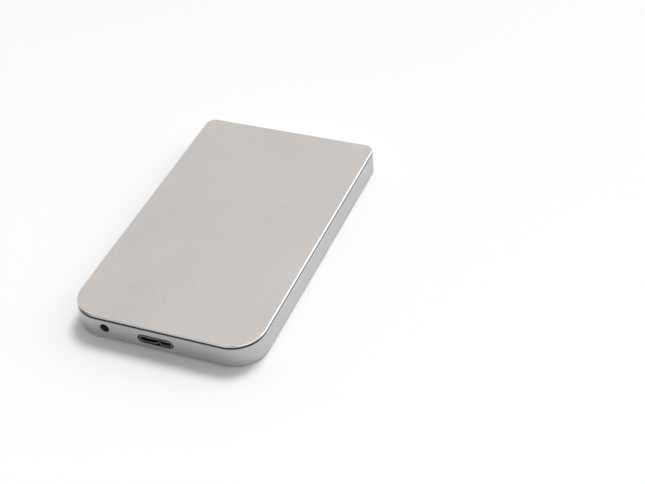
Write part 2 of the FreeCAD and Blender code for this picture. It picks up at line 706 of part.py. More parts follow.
def bridge_board():
    board = box(-BOARD_HALF, BOARD_HALF, BOARD_FRONT, BOARD_REAR, BOARD_BOTTOM, BOARD_TOP)
    for x, y in STANDOFF_PLACES:
        board = board.cut(stud(x, y, BOARD_BOTTOM, BOARD_TOP, SMALL_SCREW_RADIUS + SCREW_FIT))
    return board


def bridge_board_screws():
    screws = []
    for x, y in STANDOFF_PLACES:
        shank = stud(x, y, BOARD_BOTTOM - SMALL_SCREW_BITE, BOARD_TOP, SMALL_SCREW_RADIUS)
        screws.append(shank.fuse(stud(x, y, BOARD_TOP, BOARD_TOP + SMALL_HEAD_HEIGHT, SMALL_HEAD_RADIUS)))
    return Part.makeCompound(screws)


def chip(x, y, length, width, height, z):
    """A flat package by its middle, standing on a board."""
    return box(x - length / 2, x + length / 2, y - width / 2, y + width / 2, z, z + height)


def bridge_chip():
    return chip(CHIP_X, STANDOFF_Y, BRIDGE_CHIP_SIZE, BRIDGE_CHIP_SIZE, BRIDGE_CHIP_HEIGHT, BOARD_TOP)


def crystal():
    return chip(CRYSTAL_X, STANDOFF_Y, CRYSTAL_LENGTH, CRYSTAL_WIDTH, CRYSTAL_HEIGHT, BOARD_TOP)


def power_inductor():
    x = CHIP_X + BRIDGE_CHIP_SIZE / 2 + INDUCTOR_SIZE / 2
    y = BOARD_FRONT + PART_SPACING + INDUCTOR_SIZE / 2
    body = chip(x, y, INDUCTOR_SIZE, INDUCTOR_SIZE, INDUCTOR_HEIGHT, BOARD_TOP)
    upright = [edge for edge in body.Edges if edge.BoundBox.ZLength > INDUCTOR_HEIGHT / 2]
    return body.makeChamfer(INDUCTOR_SIZE / 5, upright)


def capacitors():
    x = CRYSTAL_X - CRYSTAL_LENGTH / 2 - PART_SPACING
    first = STANDOFF_Y - CAPACITOR_PITCH * (CAPACITOR_COUNT - 1) / 2
    row = []
    for number in range(CAPACITOR_COUNT):
        y = first + number * CAPACITOR_PITCH
        row.append(chip(x, y, CAPACITOR_LENGTH, CAPACITOR_WIDTH, CAPACITOR_WIDTH, BOARD_TOP))
    return Part.makeCompound(row)


def plug_tongues(growth, y0, y1):
    """The power and signal tongues with their keys, grown all round for the socket's slots."""
    left = SATA_X - (POWER_TONGUE + TONGUE_GAP + SIGNAL_TONGUE) / 2
    half = PLUG_TONGUE_THICKNESS / 2 + growth
    tongues = []
    for x, width in ((left, POWER_TONGUE), (left + POWER_TONGUE + TONGUE_GAP, SIGNAL_TONGUE)):
        blade = box(x - growth, x + width + growth, y0, y1, SATA_Z - half, SATA_Z + half)
        key = box(x - growth, x + KEY_WIDTH + growth, y0, y1,
                  SATA_Z - half, SATA_Z + half + KEY_HEIGHT - growth)
        tongues.append(blade.fuse(key).removeSplitter())
    return tongues


def sata_plug():
    body = box(SATA_X - SATA_HALF_WIDTH, SATA_X + SATA_HALF_WIDTH, PLUG_FACE, NOTCH_REAR,
               DRIVE_BOARD_TOP, SATA_Z + SOCKET_HALF_HEIGHT)
    return body.multiFuse(plug_tongues(0, PLUG_FACE - PLUG_TONGUE_LENGTH, PLUG_FACE)).removeSplitter()


def sata_socket():
    face = PLUG_FACE - MATING_GAP
    body = box(SATA_X - SATA_HALF_WIDTH, SATA_X + SATA_HALF_WIDTH, BOARD_REAR - SATA_OVERLAP, face,
               BOARD_TOP, SATA_Z + SOCKET_HALF_HEIGHT)
    slots = plug_tongues(TONGUE_FIT, PLUG_FACE - PLUG_TONGUE_LENGTH - MATING_GAP, face)
    return body.cut(Part.makeCompound(slots))


def chamber_face():
    """The hollow of the casting: the disc well, the arms' sweep, the coil motor and the flexible circuit."""
    x, y = PIVOT_OFFSET, PIVOT_Y
    grown_arm = [(0, ARM_ROOT_HALF + ARM_ROOM), (ARM_REACH, ARM_TIP_HALF + ARM_ROOM),
                 (RAMP_SLOT, SUSPENSION_TIP_HALF + ARM_ROOM)]
    faces = [
        disc_face(0, SPINDLE_Y, PLATTER_RADIUS + PLATTER_CLEARANCE),
        disc_face(x, y, BLOCK_RADIUS + BLOCK_ROOM),
        arm_face(grown_arm),
        sector_face(BLOCK_RADIUS, RAMP_OUTER + RAMP_GAP, LINE_DEG, PARK_DEG + RAMP_TAIL_DEG + RAMP_LEAD_DEG),
        sector_face(PIVOT_SLEEVE_RADIUS, YOKE_RADIUS + YOKE_ROOM,
                    YOKE_START_DEG - POCKET_END_DEG, YOKE_FINISH_DEG + POCKET_END_DEG),
        sector_face(PIVOT_SLEEVE_RADIUS, BLOCK_RADIUS + FLEX_LOOP + FLEX_BRACKET + FLEX_GAP,
                    FLEX_DEG - FLEX_HALF_DEG - FLEX_POCKET_DEG, FLEX_DEG + FLEX_HALF_DEG + FLEX_POCKET_DEG),
    ]
    return faces[0].multiFuse(faces[1:]).removeSplitter().Faces[0]


def cover_screw_places():
    x = DRIVE_HALF - COVER_SCREW_INSET
    rows = (DRIVE_FRONT + COVER_SCREW_INSET, SPINDLE_Y - COVER_SCREW_MIDDLE, DRIVE_REAR - COVER_SCREW_INSET)
    return [(side * x, y) for side in (-1, 1) for y in rows]


def drive_board_recess():
    """The step under the casting that takes the drive's board and its chips, less the two screw islands."""
    room = DRIVE_BOARD_ROOM
    recess = box(BOARD_LEFT - room, BOARD_RIGHT + room, DRIVE_FRONT, BOARD_FINISH + room,
                 DRIVE_BOTTOM, DRIVE_BOARD_TOP + CHIP_HEIGHT + CHIP_ROOM)
    for x, y in ISLAND_PLACES:
        recess = recess.cut(box(x - ISLAND_HALF, x + ISLAND_HALF, y - ISLAND_HALF, y + ISLAND_HALF,
                                DRIVE_BOARD_TOP, DRIVE_BOARD_TOP + CHIP_HEIGHT + CHIP_ROOM))
    return recess


def drive_base():
    base = prism(drive_face(0), DRIVE_BOTTOM, RIM_TOP)
    base = base.cut(prism(chamber_face(), CHAMBER_FLOOR, RIM_TOP))
    base = base.cut(drive_board_recess())
    half = SATA_HALF_WIDTH + NOTCH_CLEARANCE
    base = base.cut(box(SATA_X - half, SATA_X + half, DRIVE_FRONT, NOTCH_REAR,
                        DRIVE_BOTTOM, SATA_Z + SOCKET_HALF_HEIGHT + NOTCH_CLEARANCE))
    base = base.fuse(post(0, SPINDLE_Y, CHAMBER_FLOOR, STATOR_BOTTOM, SLEEVE_RADIUS + STATOR_YOKE))
    base = base.cut(post(0, SPINDLE_Y, DRIVE_BOTTOM, STATOR_BOTTOM, SLEEVE_RADIUS + HUB_FIT))
    for x, y in ISLAND_PLACES:
        base = base.cut(stud(x, y, DRIVE_BOARD_TOP, DRIVE_BOARD_TOP + SMALL_SCREW_BITE,
                             SMALL_SCREW_RADIUS + SCREW_FIT))
    for x, y in cover_screw_places():
        base = base.cut(stud(x, y, COVER_BOTTOM - COVER_SCREW_LENGTH, RIM_TOP,
                             COVER_SCREW_RADIUS + SCREW_FIT))
    for side in (-1, 1):
        for y in (DRIVE_FRONT + MOUNT_HOLE_FRONT, DRIVE_FRONT + MOUNT_HOLE_REAR):
            hole = stud(0, 0, 0, MOUNT_HOLE_DEPTH, MOUNT_HOLE_RADIUS)
            hole.rotate(vec(0, 0), vec(0, 1), -90 * side)
            hole.translate(vec(side * DRIVE_HALF, y, DRIVE_BOTTOM + MOUNT_HOLE_HEIGHT))
            base = base.cut(hole)
    return base.removeSplitter()


def cover_head(x, y, growth):
    """The countersunk head of a cover screw, flush with the cover."""
    rims = []
    for z, radius in ((COVER_BOTTOM, COVER_SCREW_RADIUS), (DRIVE_TOP, COVER_HEAD_RADIUS)):
        rim = stud_face(x, y, radius + growth).OuterWire
        rim.translate(vec(0, 0, z))
        rims.append(rim)
    return Part.makeLoft(rims, True, True)


def drive_cover():
    cover = prism(drive_face(COVER_INSET), COVER_BOTTOM, DRIVE_TOP)
    return cover.cut(Part.makeCompound([cover_head(x, y, SCREW_FIT) for x, y in cover_screw_places()]))


def cover_gasket():
    band = drive_face(GASKET_INSET).cut(drive_face(GASKET_INSET + GASKET_WIDTH))
    return prism(band.Faces[0], RIM_TOP, COVER_BOTTOM)


def cover_screws():
    screws = []
    for x, y in cover_screw_places():
        shank = stud(x, y, COVER_BOTTOM - COVER_SCREW_LENGTH, COVER_BOTTOM, COVER_SCREW_RADIUS)
        screws.append(shank.fuse(cover_head(x, y, 0)))
    return Part.makeCompound(screws)


def drive_board():
    board = box(BOARD_LEFT, BOARD_RIGHT, BOARD_START, BOARD_FINISH, DRIVE_BOTTOM, DRIVE_BOARD_TOP)
    strip = box(BOARD_RIGHT, SATA_X + SATA_HALF_WIDTH, BOARD_START, NOTCH_REAR - DRIVE_BOARD_ROOM,
                DRIVE_BOTTOM, DRIVE_BOARD_TOP)
    board = board.fuse(strip).removeSplitter()
    for x, y in ISLAND_PLACES:
        board = board.cut(stud(x, y, DRIVE_BOTTOM, DRIVE_BOARD_TOP, SMALL_SCREW_RADIUS + SCREW_FIT))
        board = board.cut(stud(x, y, DRIVE_BOTTOM, DRIVE_BOTTOM + SMALL_HEAD_HEIGHT,
                               SMALL_HEAD_RADIUS + SCREW_FIT))
    return board


def drive_board_screws():
    screws = []
    for x, y in ISLAND_PLACES:
        head = stud(x, y, DRIVE_BOTTOM, DRIVE_BOTTOM + SMALL_HEAD_HEIGHT, SMALL_HEAD_RADIUS)
        shank = stud(x, y, DRIVE_BOTTOM, DRIVE_BOARD_TOP + SMALL_SCREW_BITE, SMALL_SCREW_RADIUS)
        screws.append(head.fuse(shank))
    return Part.makeCompound(screws)


def controller_chip():
    return chip(CONTROLLER_X, CONTROLLER_Y, CONTROLLER_SIZE, CONTROLLER_SIZE, CHIP_HEIGHT, DRIVE_BOARD_TOP)


def cache_chip():
    return chip(CACHE_X, CONTROLLER_Y, CACHE_LENGTH, CACHE_WIDTH, CHIP_HEIGHT, DRIVE_BOARD_TOP)


def motor_chip():
    return chip(MOTOR_CHIP_X, MOTOR_CHIP_Y, MOTOR_CHIP_SIZE, MOTOR_CHIP_SIZE, CHIP_HEIGHT, DRIVE_BOARD_TOP)


def bearing_sleeve():
    top = HUB_LID - HUB_TOP - SLEEVE_TOP_GAP
    cup = post(0, SPINDLE_Y, SLEEVE_BOTTOM, top, SLEEVE_RADIUS)
    return cup.cut(post(0, SPINDLE_Y, SLEEVE_BOTTOM + SLEEVE_CAP, top, SHAFT_RADIUS + SHAFT_FIT))


def stator_tooth(inner, outer, half_width, z0, z1, number):
    tooth = box(inner, outer, -half_width, half_width, z0, z1)
    tooth.rotate(vec(0, 0), vec(0, 0, 1), 360 * number / STATOR_TEETH)
    tooth.translate(vec(0, SPINDLE_Y))
    return tooth


def stator_core():
    top = STATOR_BOTTOM + STATOR_HEIGHT
    inner = SLEEVE_RADIUS + HUB_FIT
    core = ring(0, SPINDLE_Y, STATOR_BOTTOM, top, inner, SLEEVE_RADIUS + STATOR_YOKE)
    root = SLEEVE_RADIUS + STATOR_YOKE / 2
    teeth = [stator_tooth(root, STATOR_RADIUS, STATOR_TOOTH_WIDTH / 2, STATOR_BOTTOM, top, number)
             for number in range(STATOR_TEETH)]
    return core.multiFuse(teeth).removeSplitter()


def stator_coils():
    top = STATOR_BOTTOM + STATOR_HEIGHT
    inner = SLEEVE_RADIUS + STATOR_YOKE + COIL_SETBACK
    outer = STATOR_RADIUS - COIL_SETBACK
    half = STATOR_TOOTH_WIDTH / 2
    coils = []
    for number in range(STATOR_TEETH):
        coil = stator_tooth(inner, outer, half + COIL_BUILD,
                            STATOR_BOTTOM - COIL_BUILD, top + COIL_BUILD, number)
        coils.append(coil.cut(stator_tooth(inner, outer, half, STATOR_BOTTOM, top, number)))
    return Part.makeCompound(coils)


def spindle_hub():
    hub = post(0, SPINDLE_Y, HUB_BOTTOM, HUB_LID, HUB_RADIUS)
    hub = hub.fuse(post(0, SPINDLE_Y, HUB_BOTTOM, LOWER_DISC, FLANGE_RADIUS))
    hub = hub.cut(post(0, SPINDLE_Y, HUB_BOTTOM, HUB_LID - HUB_TOP, HUB_BORE))
    shaft_end = SLEEVE_BOTTOM + SLEEVE_CAP + SHAFT_END_GAP
    hub = hub.fuse(post(0, SPINDLE_Y, shaft_end, HUB_LID, SHAFT_RADIUS))
    hub = hub.cut(stud(0, SPINDLE_Y, STACK_TOP - CLAMP_SCREW_LENGTH, HUB_LID, CLAMP_SCREW_RADIUS + SCREW_FIT))
    return hub.removeSplitter()


def rotor_magnet():
    top = HUB_LID - HUB_TOP
    return ring(0, SPINDLE_Y, top - MAGNET_RING_HEIGHT, top, HUB_BORE - MAGNET_RING_WALL, HUB_BORE)


def platter(z):
    return ring(0, SPINDLE_Y, z, z + PLATTER_THICKNESS, PLATTER_BORE_RADIUS, PLATTER_RADIUS)


def lower_platter():
    return platter(LOWER_DISC)


def upper_platter():
    return platter(UPPER_DISC)


def platter_spacer():
    return ring(0, SPINDLE_Y, LOWER_DISC + PLATTER_THICKNESS, UPPER_DISC, PLATTER_BORE_RADIUS, FLANGE_RADIUS)


def disc_clamp():
    plate = post(0, SPINDLE_Y, STACK_TOP, STACK_TOP + CLAMP_THICKNESS, FLANGE_RADIUS)
    return plate.cut(stud(0, SPINDLE_Y, STACK_TOP, STACK_TOP + CLAMP_THICKNESS,
                          CLAMP_SCREW_RADIUS + SCREW_PASSAGE))


def clamp_screw():
    seat = STACK_TOP + CLAMP_THICKNESS
    shank = stud(0, SPINDLE_Y, STACK_TOP - CLAMP_SCREW_LENGTH, seat, CLAMP_SCREW_RADIUS)
    return shank.fuse(stud(0, SPINDLE_Y, seat, seat + CLAMP_HEAD_HEIGHT, CLAMP_HEAD_RADIUS))


def pivot_post():
    return post(PIVOT_OFFSET, PIVOT_Y, CHAMBER_FLOOR, COVER_BOTTOM, PIVOT_POST_RADIUS)


def pivot_sleeve():
    return ring(PIVOT_OFFSET, PIVOT_Y, BLOCK_BOTTOM, BLOCK_TOP,
                PIVOT_POST_RADIUS + PIVOT_FIT, PIVOT_SLEEVE_RADIUS)


def actuator_block():
    x, y = PIVOT_OFFSET, PIVOT_Y
    block = post(x, y, BLOCK_BOTTOM, BLOCK_TOP, BLOCK_RADIUS)
    plan = arm_face([(0, ARM_ROOT_HALF), (ARM_REACH, ARM_TIP_HALF)])
    window = arm_face([(BLOCK_RADIUS + ARM_WINDOW_HALF, ARM_WINDOW_HALF),
                       (ARM_REACH - 2 * SUSPENSION_LAP, ARM_WINDOW_HALF / 2)])
    for z0, z1 in ARM_LEVELS:
        block = block.fuse(prism(plan.cut(window), z0, z1))
    middle = PARK_DEG + 180
    root = (BLOCK_RADIUS + PIVOT_SLEEVE_RADIUS) / 2
    bond = COIL_HALF_DEG + COIL_BOND_DEG
    block = block.fuse(sector(root, COIL_INNER_RADIUS, middle - FORK_HALF_DEG, middle + FORK_HALF_DEG,
                              COIL_BOTTOM, COIL_TOP))
    for start, end in ((-FORK_HALF_DEG, -bond), (bond, FORK_HALF_DEG)):
        block = block.fuse(sector(root, COIL_OUTER_RADIUS, middle + start, middle + end,
                                  COIL_BOTTOM, COIL_TOP))
    return block.cut(post(x, y, BLOCK_BOTTOM, BLOCK_TOP, PIVOT_SLEEVE_RADIUS)).removeSplitter()


def voice_coil():
    middle = PARK_DEG + 180
    inside = COIL_HALF_DEG - COIL_BAND_DEG
    coil = sector(COIL_INNER_RADIUS, COIL_OUTER_RADIUS, middle - COIL_HALF_DEG, middle + COIL_HALF_DEG,
                  COIL_BOTTOM, COIL_TOP)
    return coil.cut(sector(COIL_INNER_RADIUS + COIL_BAND, COIL_OUTER_RADIUS - COIL_BAND,
                           middle - inside, middle + inside, COIL_BOTTOM, COIL_TOP))


def suspension_level(arm_face_z, looks):
    """Lowest and highest level of the suspension that lies on one arm face."""
    return sorted((arm_face_z, arm_face_z + looks * SUSPENSION_THICKNESS))


def head_suspensions():
    plan = arm_face([(ARM_REACH - SUSPENSION_LAP, ARM_TIP_HALF),
                     (RAMP_INNER - RAMP_GAP, SUSPENSION_TIP_HALF),
                     (RAMP_INNER - RAMP_GAP, TAB_HALF),
                     (TAB_TIP, TAB_HALF)])
    return Part.makeCompound([prism(plan, *suspension_level(z, looks)) for z, looks in HEAD_FACES])


def head_sliders():
    half = SLIDER_LENGTH / 2
    plan = arm_face([(HEAD_REACH - half, SLIDER_WIDTH / 2), (HEAD_REACH + half, SLIDER_WIDTH / 2)])
    sliders = []
    for z, looks in HEAD_FACES:
        near = z + looks * SUSPENSION_THICKNESS
        sliders.append(prism(plan, *sorted((near, near + looks * SLIDER_THICKNESS))))
    return Part.makeCompound(sliders)


def parking_ramp():
    start = PARK_DEG - RAMP_LEAD_DEG
    end = PARK_DEG + RAMP_TAIL_DEG
    top = STACK_TOP + HEAD_ROOM + RAMP_HEAD_ROOM
    ramp = sector(RAMP_INNER, RAMP_OUTER, start, end, CHAMBER_FLOOR, top)
    for z, looks in HEAD_FACES:
        low, high = suspension_level(z, looks)
        ramp = ramp.cut(sector(RAMP_INNER, RAMP_SLOT, start, end,
                               low - RAMP_SLOT_ROOM, high + RAMP_SLOT_ROOM))
    return ramp


def yoke_plate(z):
    return sector(YOKE_INNER_RADIUS, YOKE_RADIUS, YOKE_START_DEG, YOKE_FINISH_DEG, z, z + YOKE_THICKNESS)


def lower_yoke():
    """The lower plate and its two bent-up ends, which carry the upper plate."""
    yoke = yoke_plate(CHAMBER_FLOOR)
    for start in (YOKE_START_DEG, YOKE_FINISH_DEG - YOKE_TAB_DEG):
        yoke = yoke.fuse(sector(YOKE_RADIUS - YOKE_TAB_DEPTH, YOKE_RADIUS, start, start + YOKE_TAB_DEG,
                                CHAMBER_FLOOR, UPPER_YOKE))
    return yoke.removeSplitter()


def upper_yoke():
    return yoke_plate(UPPER_YOKE)


def coil_magnet(z):
    return sector(COIL_INNER_RADIUS + MAGNET_INSET, COIL_OUTER_RADIUS - MAGNET_INSET,
                  INNER_DEG + 180 - COIL_HALF_DEG, PARK_DEG + 180 + COIL_HALF_DEG, z, z + MAGNET_THICKNESS)


def lower_magnet():
    return coil_magnet(LOWER_MAGNET)


def upper_magnet():
    return coil_magnet(UPPER_MAGNET)


def flex_bracket():
    inner = BLOCK_RADIUS + FLEX_LOOP
    return sector(inner, inner + FLEX_BRACKET, FLEX_DEG - FLEX_HALF_DEG, FLEX_DEG + FLEX_HALF_DEG,
                  CHAMBER_FLOOR, CHAMBER_FLOOR + FLEX_HEIGHT + FLEX_GAP)


def flex_circuit():
    """A ribbon on edge that loops from the fixed bracket to the turning block."""
    middle = polar(PIVOT_OFFSET, PIVOT_Y, BLOCK_RADIUS + FLEX_LOOP / 2, FLEX_DEG)
    outer = FLEX_LOOP / 2 - FLEX_GAP
    inner = outer - FLEX_THICKNESS
    start = FLEX_DEG + 180
    end = FLEX_DEG + 360
    loop = Part.Face(Part.Wire([
        arc(middle.x, middle.y, outer, start, end),
        Part.makeLine(polar(middle.x, middle.y, outer, end), polar(middle.x, middle.y, inner, end)),
        arc(middle.x, middle.y, inner, end, start),
        Part.makeLine(polar(middle.x, middle.y, inner, start), polar(middle.x, middle.y, outer, start)),
    ]))
    return prism(loop, CHAMBER_FLOOR, CHAMBER_FLOOR + FLEX_HEIGHT)


PIECES = [
    top_cover, bottom_tray, case_screws, rubber_feet,
    side_bumpers, rear_bumper, lower_foam_pads, upper_foam_pads,
    light_pipe, status_lamp, usb_shell, usb_tongue, usb_contacts,
    bridge_board, bridge_board_screws, bridge_chip, crystal, power_inductor, capacitors,
    sata_socket, sata_plug,
    drive_base, drive_cover, cover_gasket, cover_screws,
    drive_board, drive_board_screws, controller_chip, cache_chip, motor_chip,
    bearing_sleeve, stator_core, stator_coils, spindle_hub, rotor_magnet,
    lower_platter, upper_platter, platter_spacer, disc_clamp, clamp_screw,
    pivot_post, pivot_sleeve, actuator_block, voice_coil, head_suspensions, head_sliders,
    parking_ramp, lower_yoke, upper_yoke, lower_magnet, upper_magnet, flex_bracket, flex_circuit,
]

os.makedirs("parts", exist_ok=True)
for piece in PIECES:
    piece().exportStep("parts/%s.step" % piece.__name__)

print("case %.2f x %.2f x %.2f" % (CASE_WIDTH, CASE_LENGTH, CASE_TOP))
print("inner drive %.2f x %.2f x %.2f" % (DRIVE_WIDTH, DRIVE_LENGTH, DRIVE_TOP - DRIVE_BOTTOM))
print("spindle axis at y %.4f" % SPINDLE_Y)
print("pivot axis at x %.4f, y %.4f, swing %.3f degrees" % (PIVOT_OFFSET, PIVOT_Y, PARK_DEG - INNER_DEG))
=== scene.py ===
# %% [markdown]
# # A slim portable hard drive
#
# The solids come from a CAD program, already in metres and already in place.
# This lesson dresses them: it sets up the camera and the light, gives every piece its finish,
# and adds the small detail that is easier to make here than in CAD.
# The frame comes first, because every later step asks it where things are.

# %% Load the frame
import math
import bpy
from mathutils import Matrix, Vector


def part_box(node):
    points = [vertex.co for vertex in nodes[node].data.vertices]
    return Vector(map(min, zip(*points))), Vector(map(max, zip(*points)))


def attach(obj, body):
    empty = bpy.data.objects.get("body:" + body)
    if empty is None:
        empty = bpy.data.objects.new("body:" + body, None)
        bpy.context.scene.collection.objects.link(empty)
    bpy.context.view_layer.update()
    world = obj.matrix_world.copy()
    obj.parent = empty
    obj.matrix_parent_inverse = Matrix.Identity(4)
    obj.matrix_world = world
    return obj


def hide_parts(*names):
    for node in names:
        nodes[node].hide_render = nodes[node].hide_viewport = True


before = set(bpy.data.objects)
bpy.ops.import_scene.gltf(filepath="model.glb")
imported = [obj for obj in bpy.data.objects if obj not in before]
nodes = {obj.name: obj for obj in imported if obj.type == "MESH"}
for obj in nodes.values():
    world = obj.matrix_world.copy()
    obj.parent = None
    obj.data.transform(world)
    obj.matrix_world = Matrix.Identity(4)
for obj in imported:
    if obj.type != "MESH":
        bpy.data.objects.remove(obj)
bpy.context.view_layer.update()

MM = 0.001

# %% [markdown]
# ## The camera
#
# A packshot is taken with a long lens from above a front corner, so the edges stay nearly parallel.
# A camera can be aimed with a constraint, but three turns say the same in numbers that can be checked:
# round the object, up from the floor, and a small roll because the case lies slightly askew in the picture.

# %% Set up the camera
LOOK_AT = Vector((0.0390, -0.0002, 0.0106))
DISTANCE = 0.500
AZIMUTH = math.radians(25.635)
ELEVATION = math.radians(40.350)
ROLL = math.radians(-5.968)
LENS = 74.444
SENSOR = 36.0
NEAREST = 0.01

camera_data = bpy.data.cameras.new("packshot_lens")
camera_data.lens = LENS
camera_data.sensor_width = SENSOR
camera_data.sensor_fit = "HORIZONTAL"
camera_data.clip_start = NEAREST
camera = bpy.data.objects.new("packshot_camera", camera_data)
bpy.context.scene.collection.objects.link(camera)
round_object = Matrix.Rotation(AZIMUTH, 4, "Z")
up_from_floor = Matrix.Rotation(math.pi / 2 - ELEVATION, 4, "X")
askew = Matrix.Rotation(ROLL, 4, "Z")
turn = round_object @ up_from_floor @ askew
back = turn.to_3x3() @ Vector((0, 0, 1))
camera.matrix_world = Matrix.Translation(LOOK_AT + DISTANCE * back) @ turn
bpy.context.scene.camera = camera
print("camera at", [round(value, 4) for value in camera.matrix_world.translation])

# %% [markdown]
# ## Sums on sockets
#
# A material is a net of nodes, and a net of many small Math nodes is hard to read.
# One class that wraps a socket lets the sums be written as ordinary Python:
# `1 - mask` adds the node by itself. Every other kind of node comes from one method,
# which sets the node's settings first and its sockets after.


# %% A socket that can be added and multiplied
class Wire:
    """A socket of a node tree. Sums on it add Math nodes."""

    def __init__(self, tree, socket=None):
        self.tree = tree
        self.socket = socket

    def node(self, kind, settings=None, sockets=None, output=0):
        made = self.tree.nodes.new(kind)
        for name, value in (settings or {}).items():
            if name == "items":
                while len(made.index_switch_items) < value:
                    made.index_switch_items.new()
            else:
                setattr(made, name, value)
        for key, value in (sockets or {}).items():
            if isinstance(value, Wire):
                self.tree.links.new(value.socket, made.inputs[key])
            else:
                made.inputs[key].default_value = value
        return Wire(self.tree, made.outputs[output])

    def sum(self, operation, first, second=0.0):
        return self.node("ShaderNodeMath", {"operation": operation}, {0: first, 1: second})

    def __add__(self, other):
        return self.sum("ADD", self, other)

    def __sub__(self, other):
        return self.sum("SUBTRACT", self, other)

    def __rsub__(self, other):
        return self.sum("SUBTRACT", other, self)

    def __mul__(self, other):
        return self.sum("MULTIPLY", self, other)

    __radd__ = __add__
    __rmul__ = __mul__


print("sums on sockets are ready")

# %% [markdown]
# ## Small words for finishes
#
# The same few things are asked for again and again: where a point is on the piece, a noise of a given grain,
# a blend of two colours, and a smooth step between two values.
# They read Object coordinates, because every piece sits at the origin,
# and a pattern then stays on it when it moves.


# %% Helpers that read a place
def place_on_piece(wire):
    return wire.node("ShaderNodeTexCoord", output="Object")


def part_of(where, axis):
    return where.node("ShaderNodeSeparateXYZ", sockets={0: where}, output=axis)


def with_vectors(operation, first, second=None, output="Vector"):
    sockets = {0: first} if second is None else {0: first, 1: second}
    return first.node("ShaderNodeVectorMath", {"operation": operation}, sockets, output)


def distance_from(where, x, y):
    """How far a point is from an upright axis."""
    flat = with_vectors("MULTIPLY", where, (1.0, 1.0, 0.0))
    return with_vectors("DISTANCE", flat, (x, y, 0.0), "Value")


print("helpers for places are ready")

# %% Helpers that blend values and colours
BROAD_DETAIL = 1.0
PLAIN_DETAIL = 2.0
FINE_DETAIL = 3.0
NOISE_MIDDLE = 0.5
# A Mix node gives its numbers and its colours the same names, so its colour sockets go by number.
MIX_FACTOR, MIX_LOW, MIX_HIGH, MIX_RESULT = 0, 6, 7, 2


def grain_of(where, size, detail=PLAIN_DETAIL):
    """A noise whose blobs are about this size, in metres."""
    sockets = {"Vector": where, "Scale": 1.0 / size, "Detail": detail}
    return where.node("ShaderNodeTexNoise", sockets=sockets)


def sway(middle, swing, noise):
    """A value that sways about its middle as a noise does."""
    return middle + swing * (noise - NOISE_MIDDLE)


def step_between(value, low, high):
    """Rises smoothly from 0 at low to 1 at high."""
    return value.node("ShaderNodeMapRange", {"interpolation_type": "SMOOTHSTEP"},
                      {"Value": value, "From Min": low, "From Max": high})


def blend_colours(factor, low, high):
    """From low to high as the factor rises. Either may be a wire or three numbers."""
    low, high = (end if isinstance(end, Wire) else (*end, 1.0) for end in (low, high))
    return factor.node("ShaderNodeMix", {"data_type": "RGBA"},
                       {MIX_FACTOR: factor, MIX_LOW: low, MIX_HIGH: high}, MIX_RESULT)


print("helpers for blends are ready")

# %% Helpers that make and give finishes
BUMP_DEPTH = 0.02 * MM
BUMP_STRENGTH = 0.3


def start_finish(name):
    """A new material, its empty wire and its shader."""
    material = bpy.data.materials.new(name)
    material.use_nodes = True
    return material, Wire(material.node_tree), material.node_tree.nodes["Principled BSDF"]


def set_shader(wire, shader, sockets, height=None, depth=BUMP_DEPTH, strength=BUMP_STRENGTH):
    """Feeds the shader, by wire where a value changes over the surface and directly where it doesn't."""
    if height is not None:
        bump = {"Strength": strength, "Distance": depth, "Height": height}
        sockets = {**sockets, "Normal": wire.node("ShaderNodeBump", sockets=bump)}
    for key, value in sockets.items():
        if isinstance(value, Wire):
            wire.tree.links.new(value.socket, shader.inputs[key])
        else:
            shader.inputs[key].default_value = value


def dress(material, *names):
    """Gives CAD nodes this finish."""
    for name in names:
        slots = nodes[name].data.materials
        slots.clear()
        slots.append(material)


print("helpers for finishes are ready")

# %% [markdown]
# ## The floor
#
# The picture has a white ground, so the floor is white card, so wide that no view sees its end.
# More lamps would make it white too, but they would also bleach the case.
# Instead a small share of what the lens and the metal see of it is its own light, which softens its shadow.

# %% Lay the floor
FLOOR_HALF = 12.0
FLOOR_CORNERS = ((-1, -1), (1, -1), (1, 1), (-1, 1))
FLOOR_COLOUR = (0.96, 0.96, 0.96, 1.0)
FLOOR_ROUGH = 0.9
FLOOR_SHINE = 0.1
GROUND_SHARE = 0.06
WHITE = (1.0, 1.0, 1.0, 1.0)

floor_mesh = bpy.data.meshes.new("white_card")
floor_mesh.from_pydata([(x * FLOOR_HALF, y * FLOOR_HALF, 0.0) for x, y in FLOOR_CORNERS], [], [(0, 1, 2, 3)])
floor = bpy.data.objects.new("white_card", floor_mesh)
bpy.context.scene.collection.objects.link(floor)
card, wire, shader = start_finish("white_card")
set_shader(wire, shader, {"Base Color": FLOOR_COLOUR, "Roughness": FLOOR_ROUGH,
                          "Specular IOR Level": FLOOR_SHINE})
seen = wire.node("ShaderNodeLightPath", output="Is Camera Ray")
for kind in ("Is Glossy Ray", "Is Transmission Ray"):
    seen = seen + wire.node("ShaderNodeLightPath", output=kind)
glow = wire.node("ShaderNodeEmission", sockets={"Color": WHITE, "Strength": 1.0})
paper = Wire(wire.tree, shader.outputs[0])
mixed = wire.node("ShaderNodeMixShader", sockets={0: seen * GROUND_SHARE, 1: paper, 2: glow})
wire.tree.links.new(mixed.socket, wire.tree.nodes["Material Output"].inputs["Surface"])
floor_mesh.materials.append(card)
print("floor is", 2 * FLOOR_HALF, "m wide")

# %% [markdown]
# ## The sky
#
# The room is bright behind the case and dark in front of it, so the port end falls into shade by itself.
# A painted backdrop would do the same, but a sky that fades along one direction has no edge to mirror.

# %% Light the sky
SKY_DARK = 0.04
SKY_BEHIND = 0.75
SKY_FADE = (-0.32, 0.52)
BEHIND = (0.12, 0.99, 0.0)

